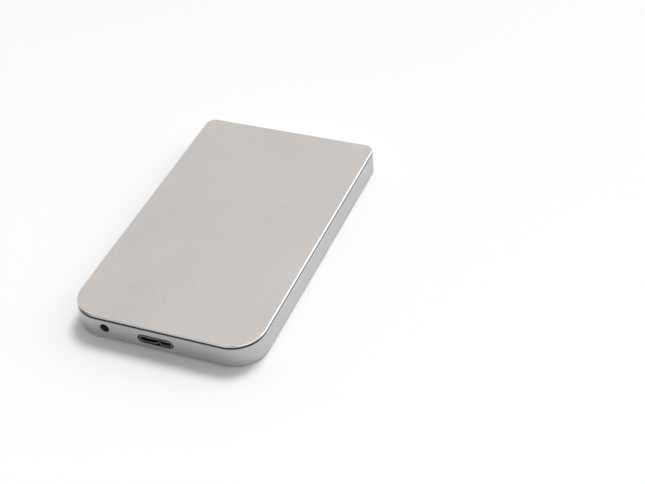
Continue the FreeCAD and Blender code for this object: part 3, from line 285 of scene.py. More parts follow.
world = bpy.data.worlds.new("studio_sky")
world.use_nodes = True
bpy.context.scene.world = world
sky = Wire(world.node_tree)
direction = sky.node("ShaderNodeTexCoord", output="Generated")
lean = with_vectors("DOT_PRODUCT", direction, BEHIND, "Value")
light = SKY_DARK + SKY_BEHIND * step_between(lean, *SKY_FADE)
background = world.node_tree.nodes["Background"]
background.inputs["Color"].default_value = WHITE
world.node_tree.links.new(light.socket, background.inputs["Strength"])
print("sky is ready")

# %% [markdown]
# ## The lamps
#
# A high window behind the case gives most of the light and throws its soft shadow forward.
# Each side of the lid's bevel mirrors its own part of the room, so each has a soft box there:
# the one behind on the right draws the bright line along the right edge,
# and weaker strips in front, at the corner and on the left lift the rest of the rim.
# A lamp can be aimed with a constraint, but all of these look at the middle of the floor,
# and one turn does it.

# %% Hang the lamps
WINDOW_POWER = 1.81
WINDOW_WIDTH = math.radians(22.0)
WINDOW_PLACE = (0.08, 0.53, 0.84)
SOFT_BOXES = {
    "rear_box": {"place": (0.70, 0.58, 0.42), "width": 0.80, "height": 0.50, "power": 1.00},
    "front_strip": {"place": (-0.33, -0.65, 0.69), "width": 0.80, "height": 0.30, "power": 0.85},
    "corner_strip": {"place": (0.56, -0.42, 0.72), "width": 0.90, "height": 0.30, "power": 1.20},
    "left_strip": {"place": (-0.95, 0.0, 0.26), "width": 0.50, "height": 0.30, "power": 0.25},
}


def hang_lamp(lamp_data, power, place):
    """Hangs a lamp at a place and aims it at the middle of the floor."""
    lamp_data.energy = power
    lamp = bpy.data.objects.new(lamp_data.name, lamp_data)
    bpy.context.scene.collection.objects.link(lamp)
    aim = (-Vector(place)).to_track_quat("-Z", "Y").to_matrix().to_4x4()
    lamp.matrix_world = Matrix.Translation(place) @ aim


window_data = bpy.data.lights.new("window", "SUN")
window_data.angle = WINDOW_WIDTH
hang_lamp(window_data, WINDOW_POWER, WINDOW_PLACE)
for name, box in SOFT_BOXES.items():
    box_data = bpy.data.lights.new(name, "AREA")
    box_data.shape = "RECTANGLE"
    box_data.size = box["width"]
    box_data.size_y = box["height"]
    hang_lamp(box_data, box["power"], box["place"])
bpy.context.scene.view_settings.view_transform = "Standard"
print("lamps:", 1 + len(SOFT_BOXES))

# %% [markdown]
# ## Blasted aluminium
#
# Lid and tray are aluminium, blasted with glass beads and anodised: the surface is a fine grain of dents
# that makes the reflection broad and even.
# The lid's edge is cut afterwards with a sharp tool, so its bevel shines.
# The grain could be modelled, but at half a millimetre a bump is enough.
# The bevel is found by height: the flat top lies above it, and the sheet's straight edge below it.
# The tray's wall in the gap under the lid is painted darker, as painted shade, and it is found by height too.
# The edges of the port slot are painted near-black, as painted shade, and are found by their place.

# %% Make the blasted finish
BEAD_DENT = 0.55 * MM
CLOUD = 24.0 * MM
DENT_SHARE = 0.7
CASE_SWAY = 0.12
CASE_SHINE = 0.3
EDGE_ROUND = 0.03 * MM
BEVEL_SILVER = (0.90, 0.90, 0.90)
BEVEL_ROUGH = 0.32
# How much painted shade darkens the tray in the gap under the lid.
PAINTED_GAP_SHADE = 0.62
SLOT_EDGE = 0.25 * MM
SLOT_PAINTED_SHADE = (0.02, 0.02, 0.02)
PAINTED_SHADE_COLOUR = (0.0, 0.0, 0.0)


def blasted_aluminium(name, dark, light, metal, rough, bevel=None, painted_shade_above=None, painted_shade_slot=None):
    material, wire, shader = start_finish(name)
    where = place_on_piece(wire)
    height = part_of(where, "Z")
    dents = grain_of(where, BEAD_DENT, FINE_DETAIL)
    clouds = grain_of(where, CLOUD, BROAD_DETAIL)
    colour = blend_colours(dents * DENT_SHARE + clouds * (1 - DENT_SHARE), dark, light)
    rough = sway(rough, CASE_SWAY, dents)
    relief = dents
    if bevel is not None:
        bottom, top = bevel
        cut = step_between(height, bottom - EDGE_ROUND, bottom) - step_between(height, top - EDGE_ROUND, top)
        colour = blend_colours(cut, colour, BEVEL_SILVER)
        rough = rough * (1 - cut) + BEVEL_ROUGH * cut
        metal = metal + (1 - metal) * cut
        relief = NOISE_MIDDLE + (dents - NOISE_MIDDLE) * (1 - cut)
    # Painted shade: the tray above the gap's bottom is blended towards black, standing in for the shadow
    # under the lid.
    if painted_shade_above is not None:
        inside = step_between(height, painted_shade_above - EDGE_ROUND, painted_shade_above) * PAINTED_GAP_SHADE
        colour = blend_colours(inside, colour, PAINTED_SHADE_COLOUR)
    # Painted shade: the walls of the port slot are painted near-black.
    if painted_shade_slot is not None:
        front, middle, half = painted_shade_slot
        off = with_vectors("ABSOLUTE", with_vectors("SUBTRACT", where, middle))
        inside = step_between(part_of(where, "Y"), front, front + SLOT_EDGE)
        for axis, room in zip("XYZ", half):
            inside = inside * wire.sum("LESS_THAN", part_of(off, axis), room)
        colour = blend_colours(inside, colour, SLOT_PAINTED_SHADE)
    set_shader(wire, shader, {"Base Color": colour, "Roughness": rough, "Metallic": metal,
                              "Specular IOR Level": CASE_SHINE}, relief)
    return material


print("blasted finish is ready")

# %% Finish the lid and the tray
LID_DARK = (0.420, 0.402, 0.391)
LID_LIGHT = (0.658, 0.633, 0.619)
LID_METAL = 0.08
LID_THICKNESS = 0.6 * MM
LID_BEVEL = 0.4 * MM
TRAY_DARK = (0.474, 0.475, 0.489)
TRAY_LIGHT = (0.632, 0.633, 0.650)
TRAY_METAL = 0.70
CASE_ROUGH = 0.40
GAP_HEIGHT = 0.95 * MM
SLOT_ROOM = 1.0 * MM

lid_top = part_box("top_cover")[1].z
lid = blasted_aluminium("lid_aluminium", LID_DARK, LID_LIGHT, LID_METAL, CASE_ROUGH,
                        bevel=(lid_top - LID_BEVEL, lid_top))
dress(lid, "top_cover")
tray_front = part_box("bottom_tray")[0].y
gap_bottom = lid_top - LID_THICKNESS - GAP_HEIGHT
socket_low, socket_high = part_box("usb_shell")
socket_half = (socket_high - socket_low) / 2 + Vector((SLOT_ROOM, SLOT_ROOM, SLOT_ROOM))
socket_slot = (tray_front, (socket_low + socket_high) / 2, socket_half)
# The tray gets painted shade in the gap under the lid and round the port slot.
tray = blasted_aluminium("tray_aluminium", TRAY_DARK, TRAY_LIGHT, TRAY_METAL, CASE_ROUGH,
                         painted_shade_above=gap_bottom, painted_shade_slot=socket_slot)
dress(tray, "bottom_tray")
print("case is finished, the gap starts at", round(gap_bottom / MM, 2), "mm")

# %% [markdown]
# ## Rubber, plastic and plating
#
# Most small pieces have one even finish: moulded rubber and plastic, plated steel, cast metal, ferrite.
# None of them is one colour. Each has fine specks inside broad clouds,
# and a bump and a roughness that follow them.
# A material could be built for each by hand, but one function and a table say the same,
# and a stretch turns the specks into the streaks of rolled sheet.

# %% Make an even grain
CLOUD_STEPS = 14.0
SPECK_SHARE = 0.6
GRAIN_SWAY = 0.15
NO_STRETCH = (1.0, 1.0, 1.0)


def grained(name, dark, light, grain, rough, metal=0.0, stretch=NO_STRETCH, depth=BUMP_DEPTH):
    material, wire, shader = start_finish(name)
    where = with_vectors("MULTIPLY", place_on_piece(wire), stretch)
    specks = grain_of(where, grain, FINE_DETAIL)
    clouds = grain_of(where, grain * CLOUD_STEPS, BROAD_DETAIL)
    colour = blend_colours(specks * SPECK_SHARE + clouds * (1 - SPECK_SHARE), dark, light)
    rough = sway(rough, GRAIN_SWAY, specks)
    set_shader(wire, shader, {"Base Color": colour, "Roughness": rough, "Metallic": metal}, specks, depth)
    return material


def dress_from(table):
    """Makes each finish of a table and gives it to its pieces."""
    made = {}
    for name, (pieces, look) in table.items():
        made[name] = grained(name, **look)
        dress(made[name], *pieces)
    return made


print("even grain is ready")

# %% Finish rubber, plastic and ferrite
MOULDED = {
    "foot_rubber": (("rubber_feet",), {
        "dark": (0.022, 0.022, 0.023), "light": (0.062, 0.062, 0.064), "grain": 0.35 * MM, "rough": 0.75}),
    "bumper_rubber": (("side_bumpers", "rear_bumper"), {
        "dark": (0.010, 0.010, 0.011), "light": (0.034, 0.034, 0.036), "grain": 0.50 * MM, "rough": 0.68}),
    "gasket_rubber": (("cover_gasket",), {
        "dark": (0.008, 0.008, 0.008), "light": (0.026, 0.026, 0.026), "grain": 0.20 * MM, "rough": 0.72}),
    "black_plastic": (("sata_socket", "sata_plug", "flex_bracket"), {
        "dark": (0.007, 0.007, 0.008), "light": (0.022, 0.022, 0.024), "grain": 0.12 * MM, "rough": 0.48}),
    "tongue_plastic": (("usb_tongue",), {
        "dark": (0.050, 0.047, 0.045), "light": (0.110, 0.105, 0.100), "grain": 0.10 * MM, "rough": 0.42}),
    "ramp_plastic": (("parking_ramp",), {
        "dark": (0.62, 0.56, 0.43), "light": (0.80, 0.75, 0.62), "grain": 0.15 * MM, "rough": 0.38}),
    "lamp_plastic": (("status_lamp",), {
        "dark": (0.62, 0.66, 0.70), "light": (0.80, 0.83, 0.86), "grain": 0.25 * MM, "rough": 0.30}),
    "ferrite": (("power_inductor", "head_sliders"), {
        "dark": (0.028, 0.026, 0.025), "light": (0.075, 0.072, 0.070), "grain": 0.12 * MM, "rough": 0.60}),
}

dress_from(MOULDED)
print("moulded finishes:", len(MOULDED))

# %% Finish sheet, cast and plated metal
ROLLED = (1.0, 0.12, 1.0)
DRAWN = (1.0, 0.10, 1.0)
BRUSHED = (1.0, 0.04, 1.0)
CAST_DEPTH = 0.05 * MM
PLATED = {
    "socket_steel": (("usb_shell",), {
        "dark": (0.32, 0.31, 0.30), "light": (0.46, 0.45, 0.44), "grain": 0.08 * MM, "rough": 0.36,
        "metal": 1.0, "stretch": ROLLED}),
    "spring_steel": (("crystal", "head_suspensions"), {
        "dark": (0.50, 0.49, 0.47), "light": (0.66, 0.65, 0.63), "grain": 0.08 * MM, "rough": 0.30,
        "metal": 1.0, "stretch": ROLLED}),
    "contact_gold": (("usb_contacts",), {
        "dark": (0.70, 0.46, 0.13), "light": (0.92, 0.68, 0.28), "grain": 0.05 * MM, "rough": 0.24,
        "metal": 1.0, "stretch": DRAWN}),
    "cast_aluminium": (("drive_base", "actuator_block"), {
        "dark": (0.40, 0.40, 0.40), "light": (0.66, 0.66, 0.65), "grain": 0.45 * MM, "rough": 0.50,
        "metal": 0.85, "depth": CAST_DEPTH}),
    "cover_aluminium": (("drive_cover",), {
        "dark": (0.48, 0.48, 0.48), "light": (0.70, 0.70, 0.69), "grain": 0.16 * MM, "rough": 0.34,
        "metal": 0.95, "stretch": BRUSHED}),
    "magnet_nickel": (("rotor_magnet", "lower_yoke", "upper_yoke", "lower_magnet", "upper_magnet"), {
        "dark": (0.52, 0.50, 0.46), "light": (0.68, 0.66, 0.61), "grain": 0.60 * MM, "rough": 0.24,
        "metal": 1.0}),
    "screw_steel": (("case_screws", "bridge_board_screws", "cover_screws", "drive_board_screws",
                     "clamp_screw"), {
        "dark": (0.34, 0.33, 0.32), "light": (0.60, 0.59, 0.57), "grain": 0.15 * MM, "rough": 0.32,
        "metal": 1.0}),
}

screw_steel = dress_from(PLATED)["screw_steel"]
print("metal finishes:", len(PLATED))

# %% [markdown]
# ## Foam
#
# The pads that hold the inner drive are open foam: small cells with thin walls.
# Real holes would need a mesh of thousands of faces for a piece that nobody sees closely.
# A Voronoi pattern has such cells, and the distance to a cell's centre is its depth. The colour is painted
# shade: darker towards each cell's middle, lighter on its walls.

# %% Finish the foam pads
FOAM_CELL = 0.45 * MM
FOAM_PAINTED_SHADE = (0.020, 0.020, 0.022)
FOAM_LIGHT = (0.105, 0.105, 0.110)
FOAM_ROUGH = 0.85
FOAM_ROUGH_WALL = 0.1
FOAM_DEPTH = 0.15 * MM
FOAM_STRENGTH = 0.8

foam, wire, shader = start_finish("foam")
cell_sockets = {"Vector": place_on_piece(wire), "Scale": 1.0 / FOAM_CELL}
cells = wire.node("ShaderNodeTexVoronoi", sockets=cell_sockets, output="Distance")
# Painted shade: each cell darkens towards its middle, where the hollow would be.
set_shader(wire, shader, {"Base Color": blend_colours(cells, FOAM_PAINTED_SHADE, FOAM_LIGHT),
                          "Roughness": FOAM_ROUGH + FOAM_ROUGH_WALL * cells},
           cells, FOAM_DEPTH, FOAM_STRENGTH)
dress(foam, "lower_foam_pads", "upper_foam_pads")
print("foam is done")

# %% [markdown]
# ## The light pipe
#
# The plug in the round hole is smoked plastic, nearly black until the lamp behind it is on.
# It could be glass over a lamp, but at this size no light would come through that a lens could see.
# Its nose is polished in the middle and cut matt round the edge, so rings about its axis set the roughness.
# The same rings paint the middle a little lighter than the rim, a painted highlight beside the real
# reflection of the polish.

# %% Finish the light pipe
SMOKE = 0.3 * MM
SMOKE_SWAY = 0.3
SMOKE_PAINTED_HIGHLIGHT = (0.006, 0.006, 0.006)
SMOKE_EDGE = (0.002, 0.002, 0.002)
MATT_FROM = 0.45
MATT_TO = 0.95
POLISH_ROUGH = 0.16
MATT_ROUGH = 0.4
SMOKE_SHINE = 0.10
SMOKE_DEPTH = 0.01 * MM
SMOKE_STRENGTH = 0.15

pipe_low, pipe_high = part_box("light_pipe")
pipe_x = (pipe_low.x + pipe_high.x) / 2
pipe_z = (pipe_low.z + pipe_high.z) / 2
pipe_radius = (pipe_high.x - pipe_low.x) / 2

smoked, wire, shader = start_finish("smoked_plastic")
where = place_on_piece(wire)
flat = with_vectors("MULTIPLY", where, (1.0, 0.0, 1.0))
away = with_vectors("DISTANCE", flat, (pipe_x, 0.0, pipe_z), "Value")
rim = step_between(away, MATT_FROM * pipe_radius, MATT_TO * pipe_radius)
smoke = grain_of(where, SMOKE)
# Painted highlight: the middle of the plug is a little lighter than its rim.
colour = blend_colours(sway(rim, SMOKE_SWAY, smoke), SMOKE_PAINTED_HIGHLIGHT, SMOKE_EDGE)
set_shader(wire, shader, {"Base Color": colour, "Roughness": POLISH_ROUGH + MATT_ROUGH * rim,
                          "Specular IOR Level": SMOKE_SHINE}, smoke, SMOKE_DEPTH, SMOKE_STRENGTH)
dress(smoked, "light_pipe")
print("light pipe is done, radius", round(pipe_radius / MM, 2), "mm")

# %% [markdown]
# ## The lamp's nose
#
# The plug ends in a shallow polished dome, so that its light also shows from the side.
# A squashed sphere would do, but rings by a formula close cleanly at the middle and sit flat on the plug.

# %% Round the lamp's nose
NOSE_BEVEL = 0.15 * MM
NOSE_RISE = 0.45 * MM
NOSE_RINGS = 6
NOSE_SIDES = 48


def nose_corner(ring, side):
    tilt = math.pi / 2 * ring / NOSE_RINGS
    angle = 2 * math.pi * side / NOSE_SIDES
    radius = (pipe_radius - NOSE_BEVEL) * math.cos(tilt)
    return (pipe_x + radius * math.cos(angle), pipe_low.y - NOSE_RISE * math.sin(tilt),
            pipe_z + radius * math.sin(angle))


def lamp_nose():
    """A dome on the plug's front face: rings from the rim inward, then the tip."""
    corners = [nose_corner(ring, side) for ring in range(NOSE_RINGS) for side in range(NOSE_SIDES)]
    tip = len(corners)
    corners.append((pipe_x, pipe_low.y - NOSE_RISE, pipe_z))
    faces = [list(range(NOSE_SIDES))[::-1]]
    for ring in range(NOSE_RINGS):
        for side in range(NOSE_SIDES):
            here = ring * NOSE_SIDES + side
            beside = ring * NOSE_SIDES + (side + 1) % NOSE_SIDES
            inward = [tip] if ring == NOSE_RINGS - 1 else [beside + NOSE_SIDES, here + NOSE_SIDES]
            faces.append([here, beside, *inward])
    mesh = bpy.data.meshes.new("lamp_nose")
    mesh.from_pydata(corners, [], faces)
    mesh.polygons.foreach_set("use_smooth", [True] * len(faces))
    mesh.materials.append(smoked)
    nose = bpy.data.objects.new("lamp_nose", mesh)
    bpy.context.scene.collection.objects.link(nose)
    return nose


nose = lamp_nose()
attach(nose, "case")
print("lamp nose:", len(nose.data.polygons), "faces")

# %% [markdown]
# ## Circuit boards
#
# A board is glass cloth in resin under green lacquer, with copper tracks that show through as a paler green.
# Every track could be drawn as a curve, but nobody follows them:
# it is enough that they run straight in bundles.
# So the board is laid out in tiles. A dice throw for each tile says whether its tracks run along or across,
# and a few tiles carry a tinned hole instead.

# %% Lay out the tiles
TILE = 2.4 * MM
TRACK_PITCH = 0.6 * MM
TRACK_EDGES = (0.50, 0.62)
HOLE_RADIUS = 0.28 * MM
HOLE_EDGE = 0.9
ACROSS_ABOVE = 0.45
HOLE_ABOVE = 0.7
TILE_MIDDLE = (0.5, 0.5, 0.0)


def ridges(wire, count):
    """Rises and falls once between 0 and 1 as the count grows by one."""
    return wire.sum("PINGPONG", count, 0.5) * 2.0


def board_pattern(wire, where):
    """Masks of the tracks and of the tinned holes."""
    flat = with_vectors("MULTIPLY", where, (1 / TILE, 1 / TILE, 0.0))
    tile = with_vectors("FLOOR", flat)
    inside = with_vectors("FRACTION", flat)
    throw = wire.node("ShaderNodeTexWhiteNoise", sockets={"Vector": tile}, output="Value")
    across = wire.sum("GREATER_THAN", throw, ACROSS_ABOVE)
    place = part_of(inside, "X") * across + part_of(inside, "Y") * (1 - across)
    tracks = step_between(ridges(wire, place * (TILE / TRACK_PITCH)), *TRACK_EDGES)
    from_middle = with_vectors("DISTANCE", inside, TILE_MIDDLE, "Value")
    disc = 1 - step_between(from_middle, HOLE_EDGE * HOLE_RADIUS / TILE, HOLE_RADIUS / TILE)
    return tracks, disc * wire.sum("GREATER_THAN", throw, HOLE_ABOVE)


print("board pattern is ready")

# %% Finish the boards
LACQUER = (0.010, 0.075, 0.030)
TRACK_GREEN = (0.022, 0.135, 0.055)
TIN = (0.58, 0.57, 0.54)
CLOTH = 0.30 * MM
CLOTH_SWAY = 0.4
CLOTH_RELIEF = 0.3
TRACK_SHARE = 0.8
LACQUER_ROUGH = 0.34
FINE_SWAY = 0.1
BOARD_DEPTH = 0.03 * MM

laminate, wire, shader = start_finish("board_laminate")
where = place_on_piece(wire)
tracks, holes = board_pattern(wire, where)
cloth = grain_of(where, CLOTH)
green = blend_colours(sway(tracks * TRACK_SHARE, CLOTH_SWAY, cloth), LACQUER, TRACK_GREEN)
set_shader(wire, shader, {"Base Color": blend_colours(holes, green, TIN), "Metallic": holes,
                          "Roughness": sway(LACQUER_ROUGH, FINE_SWAY, cloth)},
           tracks + CLOTH_RELIEF * cloth, BOARD_DEPTH)
dress(laminate, "bridge_board", "drive_board")
print("boards are done")

# %% [markdown]
# ## Chips and capacitors
#
# A chip is black epoxy with a fine matt grain and a round dimple at its first pin; its print is left bare.
# The dimple could be cut into the mesh, but it is so shallow that a bump shows the same.
# A capacitor is brown ceramic with tinned ends.

# %% Finish the chips
DIMPLE_RADIUS = 0.35 * MM
DIMPLE_EDGE = 0.8
DIMPLE_PLACE = 0.16
DIMPLE_TONE = 0.3
DIMPLE_POLISH = 0.25
EPOXY_DARK = (0.009, 0.009, 0.010)
EPOXY_LIGHT = (0.030, 0.030, 0.031)
EPOXY_GRAIN = 0.08 * MM
EPOXY_RELIEF = 0.3
EPOXY_ROUGH = 0.58
EPOXY_DEPTH = 0.05 * MM


def epoxy_chip(node):
    material, wire, shader = start_finish("chip_black_" + node)
    where = place_on_piece(wire)
    low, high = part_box(node)
    pin = low + DIMPLE_PLACE * (high - low)
    dimple = 1 - step_between(distance_from(where, pin.x, pin.y), DIMPLE_EDGE * DIMPLE_RADIUS, DIMPLE_RADIUS)
    specks = grain_of(where, EPOXY_GRAIN)
    colour = blend_colours(specks + DIMPLE_TONE * dimple, EPOXY_DARK, EPOXY_LIGHT)
    rough = sway(EPOXY_ROUGH - DIMPLE_POLISH * dimple, FINE_SWAY, specks)
    set_shader(wire, shader, {"Base Color": colour, "Roughness": rough},
               EPOXY_RELIEF * specks - dimple, EPOXY_DEPTH)
    dress(material, node)


CHIPS = ("bridge_chip", "controller_chip", "cache_chip", "motor_chip")
for chip in CHIPS:
    epoxy_chip(chip)
print("chips:", len(CHIPS))

# %% Finish the capacitors
CAP_END = 0.5 * MM
CAP_DARK = (0.20, 0.12, 0.07)
CAP_LIGHT = (0.34, 0.23, 0.14)
CAP_GRAIN = 0.12 * MM
CAP_ROUGH = 0.42

ceramic, wire, shader = start_finish("ceramic")
where = place_on_piece(wire)
cap_low, cap_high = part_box("capacitors")
off_middle = wire.sum("ABSOLUTE", part_of(where, "X") - (cap_low.x + cap_high.x) / 2)
ends = step_between(off_middle, CAP_END, CAP_END + EDGE_ROUND)
specks = grain_of(where, CAP_GRAIN)
brown = blend_colours(specks, CAP_DARK, CAP_LIGHT)
set_shader(wire, shader, {"Base Color": blend_colours(ends, brown, TIN), "Metallic": ends,
                          "Roughness": sway(CAP_ROUGH, FINE_SWAY, specks)}, specks)
dress(ceramic, "capacitors")
print("capacitors are done")

# %% [markdown]
# ## Discs and turned steel
#
# The discs are glass under a sputtered film, the best mirror in the machine,
# polished in rings too fine to see.
# Hub, spacer, clamp and bearings are turned on a lathe, and the tool leaves a fine spiral.
# Anisotropy would stretch their highlights in the same way,
# but it needs tangents that these meshes don't have.
# Both are rings about an axis, so the distance from the axis drives them. Spindle and pivot have their own.

# %% Finish what turns
TURNING_PITCH = 0.09 * MM
TURNING_ROUGH = 0.28
TURNING_DEPTH = 0.01 * MM
TURNED_DARK = (0.44, 0.43, 0.42)
TURNED_LIGHT = (0.62, 0.61, 0.59)
POLISH_PITCH = 0.35 * MM
MIRROR_ROUGH = 0.05
MIRROR_DEPTH = 0.0002 * MM
MIRROR_DARK = (0.78, 0.775, 0.765)
MIRROR_LIGHT = (0.86, 0.855, 0.845)
RING_PATCH = 2.0 * MM
RING_DRIFT = 3.0
HALF = 0.5


def ringed(name, dark, light, axis, pitch, rough, depth):
    material, wire, shader = start_finish(name)
    where = place_on_piece(wire)
    away = distance_from(where, *axis)
    uneven = grain_of(where, RING_PATCH)
    rings = HALF + HALF * wire.sum("SINE", away * (2 * math.pi / pitch) + RING_DRIFT * uneven)
    colour = blend_colours(HALF * rings + HALF * uneven, dark, light)
    rough = sway(rough, HALF * rough, rings)
    set_shader(wire, shader, {"Base Color": colour, "Roughness": rough, "Metallic": 1.0}, rings, depth)
    return material


def turned_steel(name, axis):
    return ringed(name, TURNED_DARK, TURNED_LIGHT, axis, TURNING_PITCH, TURNING_ROUGH, TURNING_DEPTH)


disc_low, disc_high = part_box("upper_platter")
spindle_axis = ((disc_low.x + disc_high.x) / 2, (disc_low.y + disc_high.y) / 2)
post_low, post_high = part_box("pivot_post")
pivot_axis = ((post_low.x + post_high.x) / 2, (post_low.y + post_high.y) / 2)
mirror = ringed("disc_mirror", MIRROR_DARK, MIRROR_LIGHT, spindle_axis, POLISH_PITCH,
                MIRROR_ROUGH, MIRROR_DEPTH)
dress(mirror, "lower_platter", "upper_platter")
dress(turned_steel("turned_steel_spindle", spindle_axis),
      "bearing_sleeve", "spindle_hub", "platter_spacer", "disc_clamp")
dress(turned_steel("turned_steel_pivot", pivot_axis), "pivot_post", "pivot_sleeve")
print("discs and turned pieces are done")

# %% [markdown]
# ## Windings, laminations and film
#
# The stator is a pack of thin steel sheets, which shows as stripes up its side,
# with copper wire on every tooth.
# The voice coil is one long winding: its turns are nested loops,
# and the distance from its window counts them.
# The amber film has its tracks one above another along the ribbon.
# Single wires would take a million faces, so one function makes stripes,
# and each piece brings its own way to count them.

# %% Ways to count the stripes
SHEET = 0.2 * MM
WIRE_PITCH = 0.14 * MM
FILM_PITCH = 0.26 * MM
COIL_BAND = 2.2 * MM
COIL_BAND_ANGLE = math.radians(13.0)


def sheets_by_height(where):
    return part_of(where, "Z") * (1.0 / SHEET)


def tracks_by_height(where):
    return part_of(where, "Z") * (1.0 / FILM_PITCH)


def turns_from_spindle(where):
    return distance_from(where, *spindle_axis) * (1.0 / WIRE_PITCH)


def turns_round_window(where):
    """Turns counted outward from the coil's window, which is a piece of a ring about the pivot."""
    corners = [Vector(vertex.co[:2]) - Vector(pivot_axis) for vertex in nodes["voice_coil"].data.vertices]
    middle = sum(corners, Vector((0, 0))).normalized()
    reach = [corner.length for corner in corners]
    spread = [abs(middle.angle_signed(corner)) for corner in corners]
    away = distance_from(where, *pivot_axis)
    from_pivot = with_vectors("SUBTRACT", where, (*pivot_axis, 0.0))
    along = with_vectors("DOT_PRODUCT", from_pivot, (*middle, 0.0), "Value")
    aside = with_vectors("DOT_PRODUCT", from_pivot, (-middle.y, middle.x, 0.0), "Value")
    angle = where.sum("ABSOLUTE", where.sum("ARCTAN2", aside, along))
    past_side = (angle - (max(spread) - COIL_BAND_ANGLE)) * away
    half_length = (max(reach) - min(reach)) / 2 - COIL_BAND
    past_end = where.sum("ABSOLUTE", away - (max(reach) + min(reach)) / 2) - half_length
    return where.sum("MAXIMUM", past_side, past_end) * (1.0 / WIRE_PITCH)


print("stripes can be counted")

# %% Finish the motor, the coil and the film
STRIPE_PATCH = 1.2 * MM
STRIPE_SHARE = 0.75
STRIPE_STRENGTH = 0.6
COPPER = {"dark": (0.36, 0.13, 0.055), "light": (0.84, 0.40, 0.20), "metal": 1.0, "rough": 0.26,
          "depth": 0.05 * MM}
SHEET_STEEL = {"dark": (0.20, 0.20, 0.20), "light": (0.48, 0.48, 0.48), "metal": 1.0, "rough": 0.38,
               "depth": 0.02 * MM}
AMBER = {"dark": (0.20, 0.075, 0.010), "light": (0.50, 0.24, 0.045), "metal": 0.1, "rough": 0.30,
         "depth": 0.01 * MM}


def striped(name, count, dark, light, metal, rough, depth):
    """Stripes along a value that grows by one from stripe to stripe."""
    material, wire, shader = start_finish(name)
    where = place_on_piece(wire)
    uneven = grain_of(where, STRIPE_PATCH)
    ridge = ridges(wire, count(where))
    colour = blend_colours(STRIPE_SHARE * ridge + (1 - STRIPE_SHARE) * uneven, dark, light)
    set_shader(wire, shader, {"Base Color": colour, "Roughness": sway(rough, GRAIN_SWAY, uneven),
                              "Metallic": metal}, ridge, depth, STRIPE_STRENGTH)
    return material


dress(striped("stator_steel", sheets_by_height, **SHEET_STEEL), "stator_core")
dress(striped("copper_stator", turns_from_spindle, **COPPER), "stator_coils")
dress(striped("copper_voice_coil", turns_round_window, **COPPER), "voice_coil")
dress(striped("flex_amber", tracks_by_height, **AMBER), "flex_circuit")
print("windings and film are done")

# %% [markdown]
# ## Things that repeat
#
# Screws and chip legs repeat, so Geometry Nodes make them:
# a tree describes one, and every point of a small mesh gets a copy.
# The points come from the CAD solids. A node that holds several screws is one mesh,
# so its triangles are first sorted into separate solids by the corners that they share.


# %% Start and end a tree
def start_tree(name, inputs):
    """A new tree with named inputs: its wire, and a wire for each input."""
    tree = bpy.data.node_groups.new(name, "GeometryNodeTree")
    tree.interface.new_socket("Points", in_out="INPUT", socket_type="NodeSocketGeometry")
    for label in inputs:
        tree.interface.new_socket(label, in_out="INPUT", socket_type="NodeSocketFloat")
    tree.interface.new_socket("Finish", in_out="INPUT", socket_type="NodeSocketMaterial")
    tree.interface.new_socket("Pieces", in_out="OUTPUT", socket_type="NodeSocketGeometry")
    start = tree.nodes.new("NodeGroupInput")
    return Wire(tree), {socket.name: Wire(tree, socket) for socket in start.outputs if socket.name}


def end_tree(wire, given, shape, euler):
    """Sets the shape on every point, makes it real and gives it its finish."""
    rotation = wire.node("FunctionNodeEulerToRotation", sockets={"Euler": euler})
    copies = wire.node("GeometryNodeInstanceOnPoints",
                       sockets={"Points": given["Points"], "Instance": shape, "Rotation": rotation})
    real = wire.node("GeometryNodeRealizeInstances", sockets={"Geometry": copies})
    dressed = wire.node("GeometryNodeSetMaterial", sockets={"Geometry": real, "Material": given["Finish"]})
    wire.tree.links.new(dressed.socket, wire.tree.nodes.new("NodeGroupOutput").inputs["Pieces"])
    return wire.tree


print("trees can be started and ended")


# %% Run a tree and find its points
def grow(name, tree, points, values, turns=None):
    """Runs a tree on points and keeps the result as a plain mesh."""
    seeds = bpy.data.meshes.new(name)
    seeds.from_pydata(points, [], [])
    if turns:
        seeds.attributes.new("turn", "FLOAT", "POINT").data.foreach_set("value", turns)
    piece = bpy.data.objects.new(name, seeds)
    bpy.context.scene.collection.objects.link(piece)
    modifier = piece.modifiers.new("grow", "NODES")
    modifier.node_group = tree
    for item in tree.interface.items_tree:
        if item.in_out == "INPUT" and item.name in values:
            modifier[item.identifier] = values[item.name]
    evaluated = piece.evaluated_get(bpy.context.evaluated_depsgraph_get())
    grown = bpy.data.meshes.new_from_object(evaluated)
    piece.modifiers.remove(modifier)
    piece.data = grown
    return piece


def separate_solids(node):
    """The lowest and highest corners of each solid in a CAD node."""
    mesh = nodes[node].data
    parent = {}

    def top(corner):
        while parent[corner] != corner:
            corner = parent[corner]
        return corner

    for face in mesh.polygons:
        corners = [tuple(round(value, 6) for value in mesh.vertices[index].co) for index in face.vertices]
        for corner in corners:
            parent.setdefault(corner, corner)
        for corner in corners[1:]:
            parent[top(corner)] = top(corners[0])
    solids = {}
    for corner in parent:
        solids.setdefault(top(corner), []).append(corner)
    return [(Vector(map(min, zip(*group))), Vector(map(max, zip(*group)))) for group in solids.values()]


print("cover screws found:", len(separate_solids("cover_screws")))

# %% [markdown]
# ## Screws
#
# Small screws with a six-lobed recess hold the case, the boards, the cover and the disc clamp.
# They differ only in size, so one tree serves them all. It wraps a flat sheet round an axis, row by row,
# from the point of the shank to the bottom of the recess, and a cosine turns the recess rows into lobes.
# A lathe and a cut would give the same shape with an untidy mesh.
# The solids have six-sided heads and holes, so the round ones take their radius from the flats and still fit.

# %% Build the screw tree
SCREW_SIDES = 36
LOBES = 6
LOBE_WAVE = 0.16
TIP_WIDTH = 0.7
TIP_TAPER = 0.4
HEAD_EDGE = 0.55
HEAD_FLAT = 0.8
RECESS_TOP = 0.42
RECESS_FLOOR = 0.39
SEAM = 0.0005 * MM

